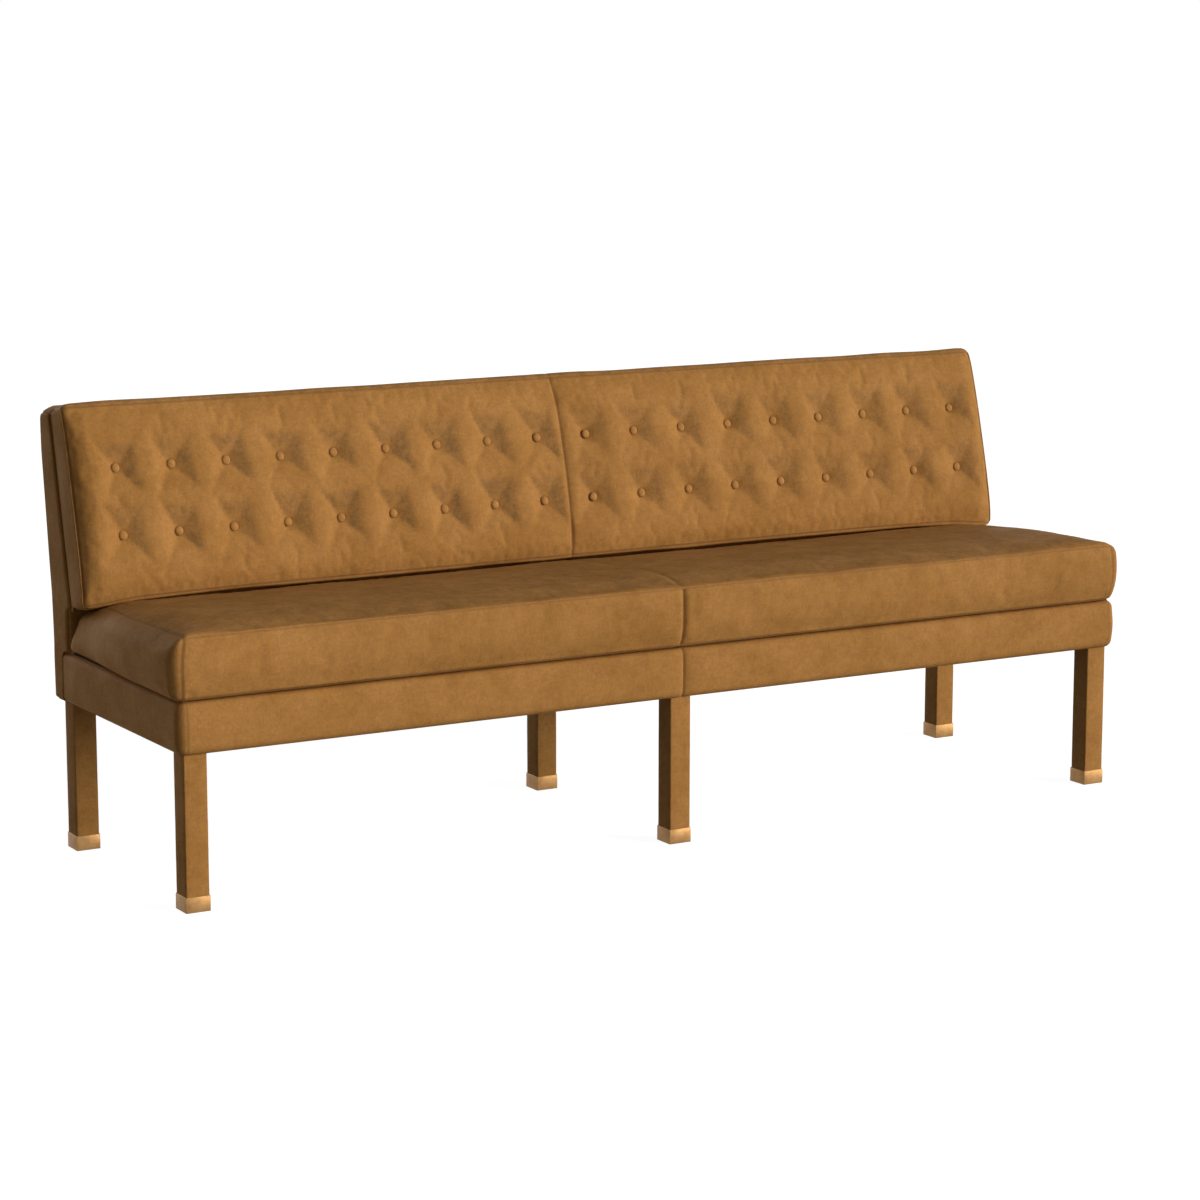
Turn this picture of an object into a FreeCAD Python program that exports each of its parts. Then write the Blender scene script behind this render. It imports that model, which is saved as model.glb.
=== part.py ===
"""Upholstered banquette bench: hardwood frame, webbed seat, loose box cushion and a buttoned, raked back.

The middle of the bench is x = 0, the floor is z = 0, and the sitter faces towards -Y.
Left and right are as seen from in front of the bench, so left is -X.
"""
import FreeCAD, Part
import math
import os
import Sketcher
from FreeCAD import Rotation, Vector

# Driving sizes in millimetres, back_rake in degrees, counts as plain numbers
SIZES = [
    ("leg_spacing", "1000", "centre to centre of neighbouring legs along the bench"),
    ("leg_depth_spacing", "521", "centre of a front leg to the centre of the rear leg behind it"),
    ("leg_side", "40", "side of the square wooden leg"),
    ("seat_underside", "289", "floor to the underside of the covered seat frame"),
    ("leather", "2", "thickness of the leather"),
    ("fit_gap", "0.2", "play between a piece and the one it slips into or over"),
    ("cap_wall", "1.3", "wall of the brass leg cap"),
    ("cap_floor", "2", "floor of the brass leg cap"),
    ("cap_height", "29", "height of the brass leg cap"),
    ("cap_bevel", "0.7", "bevel round the top edge of the cap"),
    ("post_side", "48", "side of the square front posts and thickness of the back posts"),
    ("rail_height", "90", "height of the seat rails"),
    ("rail_thickness", "24", "thickness of every rail"),
    ("cross_rail_drop", "10", "how far the cross rails stay below the webbing"),
    ("wadding", "8", "thickness of the wadding under the fixed covers"),
    ("apron_roll", "10", "radius of the rolled edges of the apron"),
    ("hem", "20", "width of the leather folded over the top of the rails"),
    ("strap_width", "60", "width of a webbing strap"),
    ("strap_pitch", "110", "spacing of the webbing straps"),
    ("strap_count", "18", "number of webbing straps"),
    ("strap_thickness", "2", "thickness of the webbing"),
    ("cloth", "1", "thickness of the deck cloth and of the dust cloth"),
    ("slide_gap", "0.5", "play under and round the loose cushion"),
    ("cushion_reach", "58", "how far the cushion bulges in front of the front leg centres"),
    ("cushion_half_width", "1044", "half the width of the cushion at its belly"),
    ("cushion_height", "117", "height of the cushion box at its front top seam"),
    ("cushion_crown", "15", "rise of the cushion top in the middle of each half"),
    ("cushion_seam_depth", "5", "depth of the drawn-in seam in the middle of the cushion"),
    ("cushion_rear_gap", "4", "space between the cushion and the back"),
    ("cushion_end_roll", "14", "radius of the rolled ends of the cushion"),
    ("zip_length", "1800", "length of the zip in the rear of the cushion cover"),
    ("zip_width", "16", "width of the zip"),
    ("zip_thickness", "1.2", "thickness of the zip"),
    ("back_rake", "13", "lean of the back from upright, in degrees"),
    ("back_start_lead", "48", "rear leg centre forward to the foot of the raked front of the back"),
    ("back_start_height", "477", "height of the foot of the raked front of the back"),
    ("back_height", "375", "length of the raked front of the back"),
    ("back_drop", "8", "how far the raked front and the pad reach below its foot"),
    ("back_post_lead", "29", "rear leg centre forward to the front of the back posts"),
    ("back_seam_lead", "5", "rear leg centre forward to the seam between apron and outer back"),
    ("back_foot_reach", "41", "rear leg centre back to the foot of the outer back"),
    ("back_waist_reach", "50", "rear leg centre back to the outer back at its waist"),
    ("back_waist_height", "470", "height of the waist of the outer back"),
    ("back_shoulder_reach", "85.5", "rear leg centre back to the outer back at its shoulder"),
    ("back_shoulder_height", "755", "height of the shoulder of the outer back"),
    ("rear_reach", "87", "rear leg centre back to the top of the outer back"),
    ("back_corner", "25", "radius of the top rear corner of the outer back"),
    ("back_bend", "300", "radius of the gentle bends in the outer back"),
    ("back_edge", "5", "radius of the small corners and end rolls of the outer back"),
    ("back_flange", "22", "width of the leather wrapped round to the front of the back frame"),
    ("back_rail_width", "60", "width of the rails in the back"),
    ("lower_rail_rise", "20", "foot of the raked front up to the lower back rail"),
    ("back_board", "4", "thickness of the board behind the back posts"),
    ("pad_half_width", "1037", "half the width of the back pad"),
    ("pad_thickness_low", "73", "thickness of the back pad at its lower edge, without its crown"),
    ("pad_thickness_high", "63", "thickness of the back pad at its upper edge, without its crown"),
    ("pad_crown", "22", "rise of the pad face between its edges"),
    ("pad_roll", "14", "radius of the rolled edges of the pad face"),
    ("pad_seam_depth", "6", "depth of the drawn-in seam in the middle of the pad"),
    ("pad_end_roll", "16", "radius of the rolled ends of the pad"),
    ("pad_board", "12", "thickness of the plywood board in the pad"),
    ("pad_flange", "26", "width of the leather wrapped round behind the pad board"),
    ("cover_play", "0.3", "play between a cover and what fills it"),
    ("button_pitch", "112.1", "spacing of the buttons along the bench"),
    ("button_count", "9", "buttons in a row on each side of the middle seam"),
    ("button_diameter", "19", "diameter of a covered button"),
    ("button_height", "6.5", "height of a covered button"),
    ("button_dome", "4.2", "radius round the face of a covered button"),
    ("tuft_depth", "13", "how deep the buttons are pulled into the pad"),
    ("tuft_diameter", "74", "diameter of the dimple round a button"),
    ("twine_diameter", "1.6", "diameter of the button twine"),
    ("twine_play", "0.7", "play round the twine where it runs through the pad"),
    ("toggle_diameter", "16", "diameter of the washer that holds the twine behind the board"),
    ("toggle_height", "2.2", "thickness of the washer that holds the twine"),
    ("dowel_diameter", "10", "diameter of the frame dowels"),
    ("dowel_length", "60", "length of the frame dowels"),
    ("dowel_bite", "16", "how deep a dowel enters the post or rail it meets"),
    ("bore_play", "0.1", "play round dowels, bolts and screws"),
    ("bolt_diameter", "10", "diameter of the hanger bolts that hold the legs"),
    ("bolt_bite", "50", "how deep a hanger bolt enters the leg and the post"),
    ("cap_screw_diameter", "4", "diameter of the screw that holds a leg cap"),
    ("cap_screw_head", "7.6", "diameter of the countersunk head of that screw"),
    ("cap_screw_length", "30", "length of the screw that holds a leg cap"),
    ("pad_screw_diameter", "4.5", "diameter of the screws that hold the pad"),
    ("pad_screw_head", "9", "diameter of the heads of the pad screws"),
    ("pad_screw_head_height", "2.5", "height of the heads of the pad screws"),
    ("pad_screw_bite", "9", "how deep the pad screws enter the pad board"),
    ("overrun", "40", "how far every cutting shape runs past the face it starts from"),
]

# Places that follow from the sizes above
PLACES = [
    ("front_leg", "(Sizes.cushion_reach - Sizes.rear_reach - Sizes.leg_depth_spacing) / 2"),
    ("rear_leg", "Places.front_leg + Sizes.leg_depth_spacing"),
    ("wood_bottom", "Sizes.seat_underside + Sizes.leather"),
    ("rail_top", "Places.wood_bottom + Sizes.rail_height"),
    ("cover_top", "Places.rail_top + Sizes.leather"),
    ("deck_top", "Places.rail_top + Sizes.strap_thickness + Sizes.cloth"),
    ("cushion_bottom", "Places.deck_top + Sizes.slide_gap"),
    ("wrap_side", "Sizes.leg_side + 2 * Sizes.leather"),
    ("cap_bore", "Places.wrap_side + 2 * Sizes.fit_gap"),
    ("cap_side", "Places.cap_bore + 2 * Sizes.cap_wall"),
    ("half_frame", "Sizes.leg_spacing + Sizes.post_side / 2"),
    ("half_cover", "Places.half_frame + Sizes.wadding + Sizes.leather"),
    ("frame_front", "Places.front_leg - Sizes.post_side / 2"),
    ("cover_front", "Places.frame_front - Sizes.wadding - Sizes.leather"),
    ("front_post_back", "Places.front_leg + Sizes.post_side / 2"),
    ("post_front", "Places.rear_leg - Sizes.back_post_lead"),
    ("lower_back_face", "Places.post_front - Sizes.leather"),
    ("back_seam", "Places.rear_leg - Sizes.back_seam_lead"),
    ("back_y", "Places.rear_leg - Sizes.back_start_lead"),
    ("lean_sine", "sin(Sizes.back_rake)"),
    ("lean_cosine", "cos(Sizes.back_rake)"),
    ("back_stack", "Sizes.leather + Sizes.wadding + Sizes.back_board"),
    ("wood_behind", "Sizes.leather + Sizes.cover_play"),
    ("wood_rise", "Sizes.back_height - Sizes.leather - Sizes.wadding"),
    ("wood_drop", "Sizes.back_drop - Sizes.leather - Sizes.cover_play * 3"),
    ("rail_length", "Sizes.leg_spacing - Sizes.post_side"),
    ("pad_height", "Sizes.back_height + Sizes.back_drop - Sizes.leather"),
    ("row_step", "Places.pad_height / 3"),
    ("low_row", "Places.row_step - Sizes.back_drop"),
    ("high_row", "2 * Places.row_step - Sizes.back_drop"),
    ("pad_board_back", "Sizes.leather + 2 * Sizes.cover_play"),
    ("pad_board_front", "Places.pad_board_back + Sizes.pad_board"),
]

# Share of the full crown that the pad face reaches at either row of buttons
ROW_CROWN_SHARE = 8 / 9
# Outline of the cushion seen from its end, from its lower front edge backwards and round over the top:
# share of the depth, share of the height and share of the crown of each point; every second
# point is the middle of an edge
CUSHION_SHARES = [
    (0.070, 0.000, 0.0), (0.520, 0.000, 0.0),
    (0.964, 0.000, 0.0), (0.9895, 0.049, 0.0),
    (1.000, 0.167, 0.0), (1.000, 0.320, 0.0),
    (1.000, 0.475, 0.0), (0.987, 0.637, 0.0),
    (0.940, 0.714, 0.0), (0.560, 0.936, 0.55),
    (0.180, 1.000, 1.0), (0.105, 0.985, 0.9),
    (0.052, 0.945, 0.6), (0.013, 0.810, 0.2),
    (0.000, 0.580, 0.0), (0.018, 0.240, 0.0),
]
# Places along half a cushion or pad, from the middle seam to the end: share of the half width
# without the end roll, and share of the crown
SPAN_SHARES = [(0.010, 0.42), (0.04, 0.66), (0.12, 0.90), (0.30, 1.0), (0.5, 1.0), (0.75, 1.0),
               (0.88, 0.92), (0.94, 0.74), (0.975, 0.48), (1.0, 0.20)]
# Rolled end of a cushion or pad: share of the end roll, share of the crown, share of the draw
END_SHARES = [(0.38, 0.13, 0.08), (0.71, 0.06, 0.30), (0.92, 0.02, 0.62), (1.0, 0.0, 1.0)]
# Places of the pad screws along one half of the bench, as shares of the leg spacing
SCREW_SHARES = [0.12, 0.38, 0.64, 0.90]
# Middle of the dimple's flank: shares of the way out to its rim and of its depth
TUFT_OUT_SHARE = 0.36
TUFT_DEPTH_SHARE = 0.30
# Least corner radius that an inset keeps, as a share of the full one
LEAST_RADIUS_SHARE = 0.2
# Points closer to a straight line than this share of its length make a straight edge
STRAIGHT_SHARE = 1e-4

doc = FreeCAD.newDocument("Banquette")
sheet = doc.addObject("Spreadsheet::Sheet", "Sizes")
places = doc.addObject("App::VarSet", "Places")
pieces = []


def fill_sheet():
    """One row for each driving size: its name, its number and what it measures."""
    for row, (alias, number, meaning) in enumerate(SIZES, start=1):
        sheet.set("A%d" % row, alias)
        sheet.set("B%d" % row, number)
        sheet.set("C%d" % row, meaning)
        sheet.setAlias("B%d" % row, alias)
    doc.recompute()


def fill_places():
    """The places that other pieces share, each bound to the sizes it follows from."""
    for name, formula in PLACES:
        places.addProperty("App::PropertyFloat", name)
        places.setExpression(name, formula)
    doc.recompute()


def size(name):
    return float(getattr(sheet, name))


def place(name):
    return float(getattr(places, name))


def keep(piece, label):
    """Name a finished sub-part and list it for the hand-over."""
    piece.Label = label
    pieces.append(piece)
    return piece


def bind(target, **formulas):
    """Bind properties to formulas; base_x, base_y and base_z stand for the placement."""
    for name, formula in formulas.items():
        if name.startswith("base_"):
            target.setExpression("Placement.Base." + name[-1], formula)
        else:
            target.setExpression(name, formula)
    return target


def lean(target):
    """Set a piece in the raked frame of the back: local -Y is the face and local Z runs up the slope."""
    target.Placement = FreeCAD.Placement(Vector(), Rotation(Vector(1, 0, 0), -size("back_rake")))
    target.setExpression("Placement.Rotation.Angle", "-Sizes.back_rake")
    return bind(target, base_y="Places.back_y", base_z="Sizes.back_start_height")


def leaned(behind, up):
    """Formulas for the world y and z of a point in the raked frame of the back."""
    y = "(Places.back_y + (%s) * Places.lean_sine + (%s) * Places.lean_cosine)" % (up, behind)
    z = "(Sizes.back_start_height + (%s) * Places.lean_cosine - (%s) * Places.lean_sine)" % (up, behind)
    return y, z


def box(name, low, spans):
    """A board or cutting block from the formulas of its low corner and of its three spans."""
    block = doc.addObject("Part::Box", name)
    bind(block, base_x=low[0], base_y=low[1], base_z=low[2])
    return bind(block, Length=spans[0], Width=spans[1], Height=spans[2])


def rod(name, start, axis, radius, length):
    """A round bar from the formulas of its start, towards +X, +Y or +Z."""
    bar = doc.addObject("Part::Cylinder", name)
    bar.Placement = FreeCAD.Placement(Vector(), Rotation(Vector(0, 0, 1), axis))
    bind(bar, base_x=start[0], base_y=start[1], base_z=start[2])
    return bind(bar, Radius=radius, Height=length)


def group(name, members):
    """Several separate solids held as one sub-part or as one cutting tool."""
    together = doc.addObject("Part::Compound", name)
    together.Links = members
    return together


def cut(name, base, tool):
    """The base with the tool's space taken out of it."""
    left = doc.addObject("Part::Cut", name)
    left.Base = base
    left.Tool = tool
    return left


def new_body(name):
    return doc.addObject("PartDesign::Body", name)


def new_sketch(body, name, role, offset="0"):
    """A sketch on one of the body's own origin planes, moved along the plane's normal."""
    sketch = body.newObject("Sketcher::SketchObject", name)
    plane = [feature for feature in body.Origin.OriginFeatures if feature.Role == role][0]
    sketch.AttachmentSupport = [(plane, "")]
    sketch.MapMode = "FlatFace"
    sketch.setExpression("AttachmentOffset.Base.z", offset)
    return sketch


def hold_point(sketch, item, point, formulas, start):
    """Hold one point of a sketch at the formulas of its two distances from the origin."""
    for kind, formula, guess in zip(("DistanceX", "DistanceY"), formulas, start):
        index = sketch.addConstraint(Sketcher.Constraint(kind, -1, 1, item, point, guess))
        sketch.setExpression("Constraints[%d]" % index, formula)


def draw_outline(sketch, corners):
    """A closed polygon through the formulas of its corners."""
    first = sketch.GeometryCount
    turn = 2 * math.pi / len(corners)
    guesses = [Vector(math.cos(turn * step), math.sin(turn * step), 0) for step in range(len(corners))]
    for step, guess in enumerate(guesses):
        sketch.addGeometry(Part.LineSegment(guess, guesses[(step + 1) % len(corners)]))
    for step in range(len(corners)):
        following = first + (step + 1) % len(corners)
        sketch.addConstraint(Sketcher.Constraint("Coincident", first + step, 2, following, 1))
    for step, formulas in enumerate(corners):
        hold_point(sketch, first + step, 1, formulas, (guesses[step].x, guesses[step].y))


def draw_rectangle(sketch, low, high):
    draw_outline(sketch, [(low[0], low[1]), (high[0], low[1]), (high[0], high[1]), (low[0], high[1])])


def draw_circles(sketch, centres, radius):
    """Equal circles at the formulas of their centres."""
    for centre in centres:
        circle = sketch.addGeometry(Part.Circle(Vector(), Vector(0, 0, 1), 1))
        index = sketch.addConstraint(Sketcher.Constraint("Radius", circle, 1))
        sketch.setExpression("Constraints[%d]" % index, radius)
        hold_point(sketch, circle, 3, centre, (0, 0))


def add_pad(body, sketch, length, side="One side"):
    pad = body.newObject("PartDesign::Pad", sketch.Name + "_pad")
    pad.Profile = sketch
    pad.SideType = side
    return bind(pad, Length=length)


def add_pocket(body, sketch, length, backwards=False):
    """A pocket that is tested to take something away."""
    doc.recompute()
    before = body.Shape.Volume
    pocket = body.newObject("PartDesign::Pocket", sketch.Name + "_pocket")
    pocket.Profile = sketch
    pocket.Reversed = backwards
    bind(pocket, Length=length)
    doc.recompute()
    if body.Shape.Volume >= before:
        raise ValueError("%s takes nothing away" % pocket.Name)
    return pocket


def edges_where(shape, test):
    """Names of the edges whose box passes the test."""
    return ["Edge%d" % number for number, edge in enumerate(shape.Edges, start=1) if test(edge.BoundBox)]


def add_edge_feature(body, kind, base, test, prop, formula):
    """A fillet or chamfer on the base's edges that pass the test."""
    doc.recompute()
    feature = body.newObject("PartDesign::" + kind, base.Name + "_" + kind.lower())
    feature.Base = (base, edges_where(base.Shape, test))
    feature.setExpression(prop, formula)
    return feature


def near(first, second):
    return abs(first - second) < size("fit_gap") / 2


# Names of the six legs, with the formulas of their places
COLUMNS = [("left", "-Sizes.leg_spacing"), ("middle", "0"), ("right", "Sizes.leg_spacing")]
ROWS = [("front", "Places.front_leg"), ("rear", "Places.rear_leg")]
HALVES = [("left", "-1"), ("right", "1")]


def leg_places():
    return [(row + "_" + column, x, y) for row, y in ROWS for column, x in COLUMNS]


def make_dowels(play):
    """Two dowels in each end of each rail; with play they are the bores for them."""
    made = []
    radius = "Sizes.dowel_diameter / 2 + " + play
    length = "Sizes.dowel_length"
    inside = "(Sizes.dowel_length - Sizes.dowel_bite)"
    heights = ["Places.wood_bottom + Sizes.rail_height / 4", "Places.rail_top - Sizes.rail_height / 4"]

    def along_x(y, z):
        for column, x in COLUMNS[:2]:
            made.append(rod("dowel_x", (x + " + Sizes.post_side / 2 - Sizes.dowel_bite", y, z),
                            Vector(1, 0, 0), radius, length))
            made.append(rod("dowel_x", (x + " + Sizes.leg_spacing - Sizes.post_side / 2 - " + inside, y, z),
                            Vector(1, 0, 0), radius, length))

    def along_y(x, front, z):
        made.append(rod("dowel_y", (x, front + " - Sizes.dowel_bite", z), Vector(0, 1, 0), radius, length))
        made.append(rod("dowel_y", (x, "Places.post_front - " + inside, z), Vector(0, 1, 0), radius, length))

    half_rail = "Sizes.rail_thickness / 2"
    for z in heights:
        along_x("Places.frame_front + " + half_rail, z)
        along_x("Places.post_front + " + half_rail, z)
        along_y("-(Places.half_frame - %s)" % half_rail, "Places.front_post_back", z)
        along_y("Places.half_frame - " + half_rail, "Places.front_post_back", z)
    for z in (heights[0], "Places.rail_top - Sizes.cross_rail_drop - Sizes.rail_height / 4"):
        along_y("0", "Places.front_post_back", z)
        along_y("-Sizes.leg_spacing / 2", "Places.frame_front + Sizes.rail_thickness", z)
        along_y("Sizes.leg_spacing / 2", "Places.frame_front + Sizes.rail_thickness", z)
    middle = "Places.wood_behind + " + half_rail
    for low in ("Sizes.lower_rail_rise", "Places.wood_rise - Sizes.back_rail_width"):
        for quarter in ("1", "3"):
            along_x(*leaned(middle, low + " + Sizes.back_rail_width * %s / 4" % quarter))
    return made


def make_bolts(play):
    """A hanger bolt up through the middle of each leg into the post above it."""
    radius = "Sizes.bolt_diameter / 2 + " + play
    start = "Places.wood_bottom - Sizes.bolt_bite"
    return [rod("leg_bolt", (x, y, start), Vector(0, 0, 1), radius, "2 * Sizes.bolt_bite")
            for name, x, y in leg_places()]


def make_cap_screws(play, below):
    """A countersunk screw up through the floor of each cap; below is how far its bore runs down."""
    made = []
    for name, x, y in leg_places():
        shank = rod("cap_screw_shank", (x, y, "-(%s)" % below), Vector(0, 0, 1),
                    "Sizes.cap_screw_diameter / 2 + " + play, "Sizes.cap_screw_length + " + below)
        head = doc.addObject("Part::Cone", "cap_screw_cone")
        bind(head, base_x=x, base_y=y, Height="Sizes.cap_floor")
        bind(head, Radius1="Sizes.cap_screw_head / 2 + " + play,
             Radius2="Sizes.cap_screw_diameter / 2 + " + play)
        screw = doc.addObject("Part::Fuse", "cap_screw")
        screw.Base = shank
        screw.Tool = head
        made.append(screw)
    return made


def screw_centres():
    """Places of the pad screws in the raked frame: along the bench and up the slope."""
    middle = "Sizes.back_rail_width / 2"
    rows = ["Sizes.lower_rail_rise + " + middle, "Places.wood_rise - " + middle]
    return [("Sizes.leg_spacing * %s * %s" % (side, share), up)
            for up in rows for half, side in HALVES for share in SCREW_SHARES]


def make_pad_screws(name, play):
    """Screws from behind the back rails into the pad board; with play they are their bores."""
    body = new_body(name)
    shanks = new_sketch(body, name + "_shanks", "XZ_Plane", "Places.pad_board_back + Sizes.pad_screw_bite")
    draw_circles(shanks, screw_centres(), "Sizes.pad_screw_diameter / 2 + " + play)
    length = "Places.pad_board_back + Sizes.pad_screw_bite + Places.wood_behind + Sizes.rail_thickness"
    add_pad(body, shanks, length).Reversed = True
    heads = new_sketch(body, name + "_heads", "XZ_Plane", "-(Places.wood_behind + Sizes.rail_thickness)")
    draw_circles(heads, screw_centres(), "Sizes.pad_screw_head / 2 + " + play)
    add_pad(body, heads, "Sizes.pad_screw_head_height").Reversed = True
    return lean(body)


def make_bores():
    """Every bore in the wooden frame as one cutting tool."""
    members = make_dowels("Sizes.bore_play") + make_bolts("Sizes.bore_play")
    members += make_cap_screws("Sizes.bore_play", "Sizes.overrun")
    members.append(make_pad_screws("pad_screw_bores", "Sizes.bore_play"))
    return group("frame_bores", members)


def make_fasteners():
    keep(group("frame_dowels", make_dowels("0")), "frame_dowels")
    keep(group("leg_bolts", make_bolts("0")), "leg_bolts")
    keep(group("cap_screws", make_cap_screws("0", "0")), "cap_screws")
    keep(make_pad_screws("pad_screws", "0"), "pad_screws")


def square_bar(name, side, bottom, top):
    """A square bar standing on the body's origin axis between two heights."""
    body = new_body(name)
    sketch = new_sketch(body, name + "_section", "XY_Plane", bottom)
    half = "(%s) / 2" % side
    draw_rectangle(sketch, ("-" + half, "-" + half), (half, half))
    add_pad(body, sketch, "(%s) - (%s)" % (top, bottom))
    return body


def make_leg(name, x, y, bores):
    """A square hardwood leg, bored for its hanger bolt and its cap screw."""
    blank = square_bar("leg_blank_" + name, "Sizes.leg_side", "Sizes.cap_floor + Sizes.fit_gap",
                       "Places.wood_bottom")
    bind(blank, base_x=x, base_y=y)
    keep(cut("leg_" + name, blank, bores), "leg_" + name)


def make_leg_wrap(name, x, y):
    """The leather sleeve stitched round a leg."""
    body = square_bar("leg_wrap_" + name, "Places.wrap_side", "Sizes.cap_floor + Sizes.fit_gap",
                      "Places.wood_bottom - Sizes.fit_gap")
    hollow = new_sketch(body, "wrap_hollow_" + name, "XY_Plane")
    half = "(Sizes.leg_side / 2 + Sizes.fit_gap)"
    draw_rectangle(hollow, ("-" + half, "-" + half), (half, half))
    add_pocket(body, hollow, "Places.wood_bottom", True)
    keep(bind(body, base_x=x, base_y=y), "leg_wrap_" + name)


def make_leg_cap(name, x, y, bores):
    """A folded brass cup round the foot of a leg, bevelled round its top edge."""
    body = square_bar("cap_blank_" + name, "Places.cap_side", "0", "Sizes.cap_height")
    hollow = new_sketch(body, "cap_hollow_" + name, "XY_Plane", "Sizes.cap_floor")
    half = "Places.cap_bore / 2"
    draw_rectangle(hollow, ("-" + half, "-" + half), (half, half))
    cup = add_pocket(body, hollow, "Sizes.cap_height", True)
    outer = place("cap_side") / 2
    top = size("cap_height")

    def on_outer_rim(bounds):
        level = near(bounds.ZMin, top) and near(bounds.ZMax, top)
        reach = max(abs(bounds.XMin), abs(bounds.XMax), abs(bounds.YMin), abs(bounds.YMax))
        flat = near(bounds.XMin, bounds.XMax) or near(bounds.YMin, bounds.YMax)
        side = max(abs(bounds.XMin + bounds.XMax), abs(bounds.YMin + bounds.YMax)) / 2
        return level and flat and near(reach, outer) and near(side, outer)

    add_edge_feature(body, "Chamfer", cup, on_outer_rim, "Size", "Sizes.cap_bevel")
    bind(body, base_x=x, base_y=y)
    keep(cut("leg_cap_" + name, body, bores), "leg_cap_" + name)


def make_legs(bores):
    for name, x, y in leg_places():
        make_leg(name, x, y, bores)
        make_leg_wrap(name, x, y)
        make_leg_cap(name, x, y, bores)


def make_board(name, low, spans, bores):
    """A straight rail or post, bored where it is joined."""
    keep(cut(name, box(name + "_blank", low, spans), bores), name)


def make_seat_frame(bores):
    """Front posts, front and rear rails in two halves, side rails and three cross rails."""
    bottom = "Places.wood_bottom"
    height = "Sizes.rail_height"
    thick = "Sizes.rail_thickness"
    side = "Sizes.post_side"
    for column, x in COLUMNS:
        make_board("front_post_" + column, (x + " - Sizes.post_side / 2", "Places.frame_front", bottom),
                   (side, side, height), bores)
    for half, x in (("left", "-Sizes.leg_spacing"), ("right", "0")):
        start = x + " + Sizes.post_side / 2"
        make_board("front_rail_" + half, (start, "Places.frame_front", bottom),
                   ("Places.rail_length", thick, height), bores)
        make_board("rear_rail_" + half, (start, "Places.post_front", bottom),
                   ("Places.rail_length", thick, height), bores)
    depth = "Places.post_front - Places.front_post_back"
    for half, x in (("left", "-Places.half_frame"), ("right", "Places.half_frame - Sizes.rail_thickness")):
        make_board("side_rail_" + half, (x, "Places.front_post_back", bottom), (thick, depth, height), bores)
    low = height + " - Sizes.cross_rail_drop"
    make_board("cross_rail_middle", ("-Sizes.rail_thickness / 2", "Places.front_post_back", bottom),
               (thick, depth, low), bores)
    front = "Places.frame_front + Sizes.rail_thickness"
    for half, side in HALVES:
        make_board("cross_rail_" + half, (side + " * Sizes.leg_spacing / 2 - Sizes.rail_thickness / 2", front,
                                          bottom), (thick, "Places.post_front - (%s)" % front, low), bores)


def rear_line(behind):
    """The line of the back posts' rear edge moved back: foot, waist, shoulder and top."""
    stack = "Places.back_stack - (%s)" % behind
    top_y = "(Places.rear_leg + Sizes.rear_reach - (%s))" % stack
    front_y, front_z = leaned("0", "Places.wood_rise")
    top_z = "%s - (%s - %s) * Places.lean_sine / Places.lean_cosine" % (front_z, top_y, front_y)
    return [("Places.rear_leg + Sizes.back_foot_reach - (%s)" % stack, "Places.wood_bottom"),
            ("Places.rear_leg + Sizes.back_waist_reach - (%s)" % stack, "Sizes.back_waist_height"),
            ("Places.rear_leg + Sizes.back_shoulder_reach - (%s)" % stack, "Sizes.back_shoulder_height"),
            (top_y, top_z)]


def make_back_posts(bores):
    """Three sawn posts that stand on the rear legs and lean back above the seat."""
    shoulder = leaned("Places.wood_behind", "-Places.wood_drop")
    head = leaned("Places.wood_behind", "Places.wood_rise")
    corners = [("Places.post_front", "Places.wood_bottom")] + rear_line("0")
    corners += [head, shoulder, ("Places.post_front", shoulder[1])]
    for column, x in COLUMNS:
        blank = new_body("back_post_blank_" + column)
        sketch = new_sketch(blank, "back_post_outline_" + column, "YZ_Plane")
        draw_outline(sketch, corners)
        add_pad(blank, sketch, "Sizes.post_side", "Symmetric")
        bind(blank, base_x=x)
        keep(cut("back_post_" + column, blank, bores), "back_post_" + column)


def make_back_rails(bores):
    """An upper and a lower rail between each pair of back posts."""
    front = "Places.wood_behind"
    back = "Places.wood_behind + Sizes.rail_thickness"
    spans = [("back_lower_rail_", "Sizes.lower_rail_rise", "Sizes.lower_rail_rise + Sizes.back_rail_width"),
             ("back_top_rail_", "Places.wood_rise - Sizes.back_rail_width", "Places.wood_rise")]
    for name, low, high in spans:
        for half, side in HALVES:
            blank = new_body(name + "blank_" + half)
            sketch = new_sketch(blank, name + "section_" + half, "YZ_Plane")
            draw_rectangle(sketch, (front, low), (back, high))
            add_pad(blank, sketch, "Places.rail_length", "Symmetric")
            bind(lean(blank), base_x=side + " * Sizes.leg_spacing / 2")
            keep(cut(name + half, blank, bores), name + half)


def make_back_board():
    """The thin board on the rear edges of the back posts."""
    body = new_body("back_board")
    sketch = new_sketch(body, "back_board_outline", "YZ_Plane")
    outer = rear_line("Sizes.back_board")
    draw_outline(sketch, rear_line("0") + outer[::-1])
    add_pad(body, sketch, "2 * Places.half_frame", "Symmetric")
    keep(body, "back_board")


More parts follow.
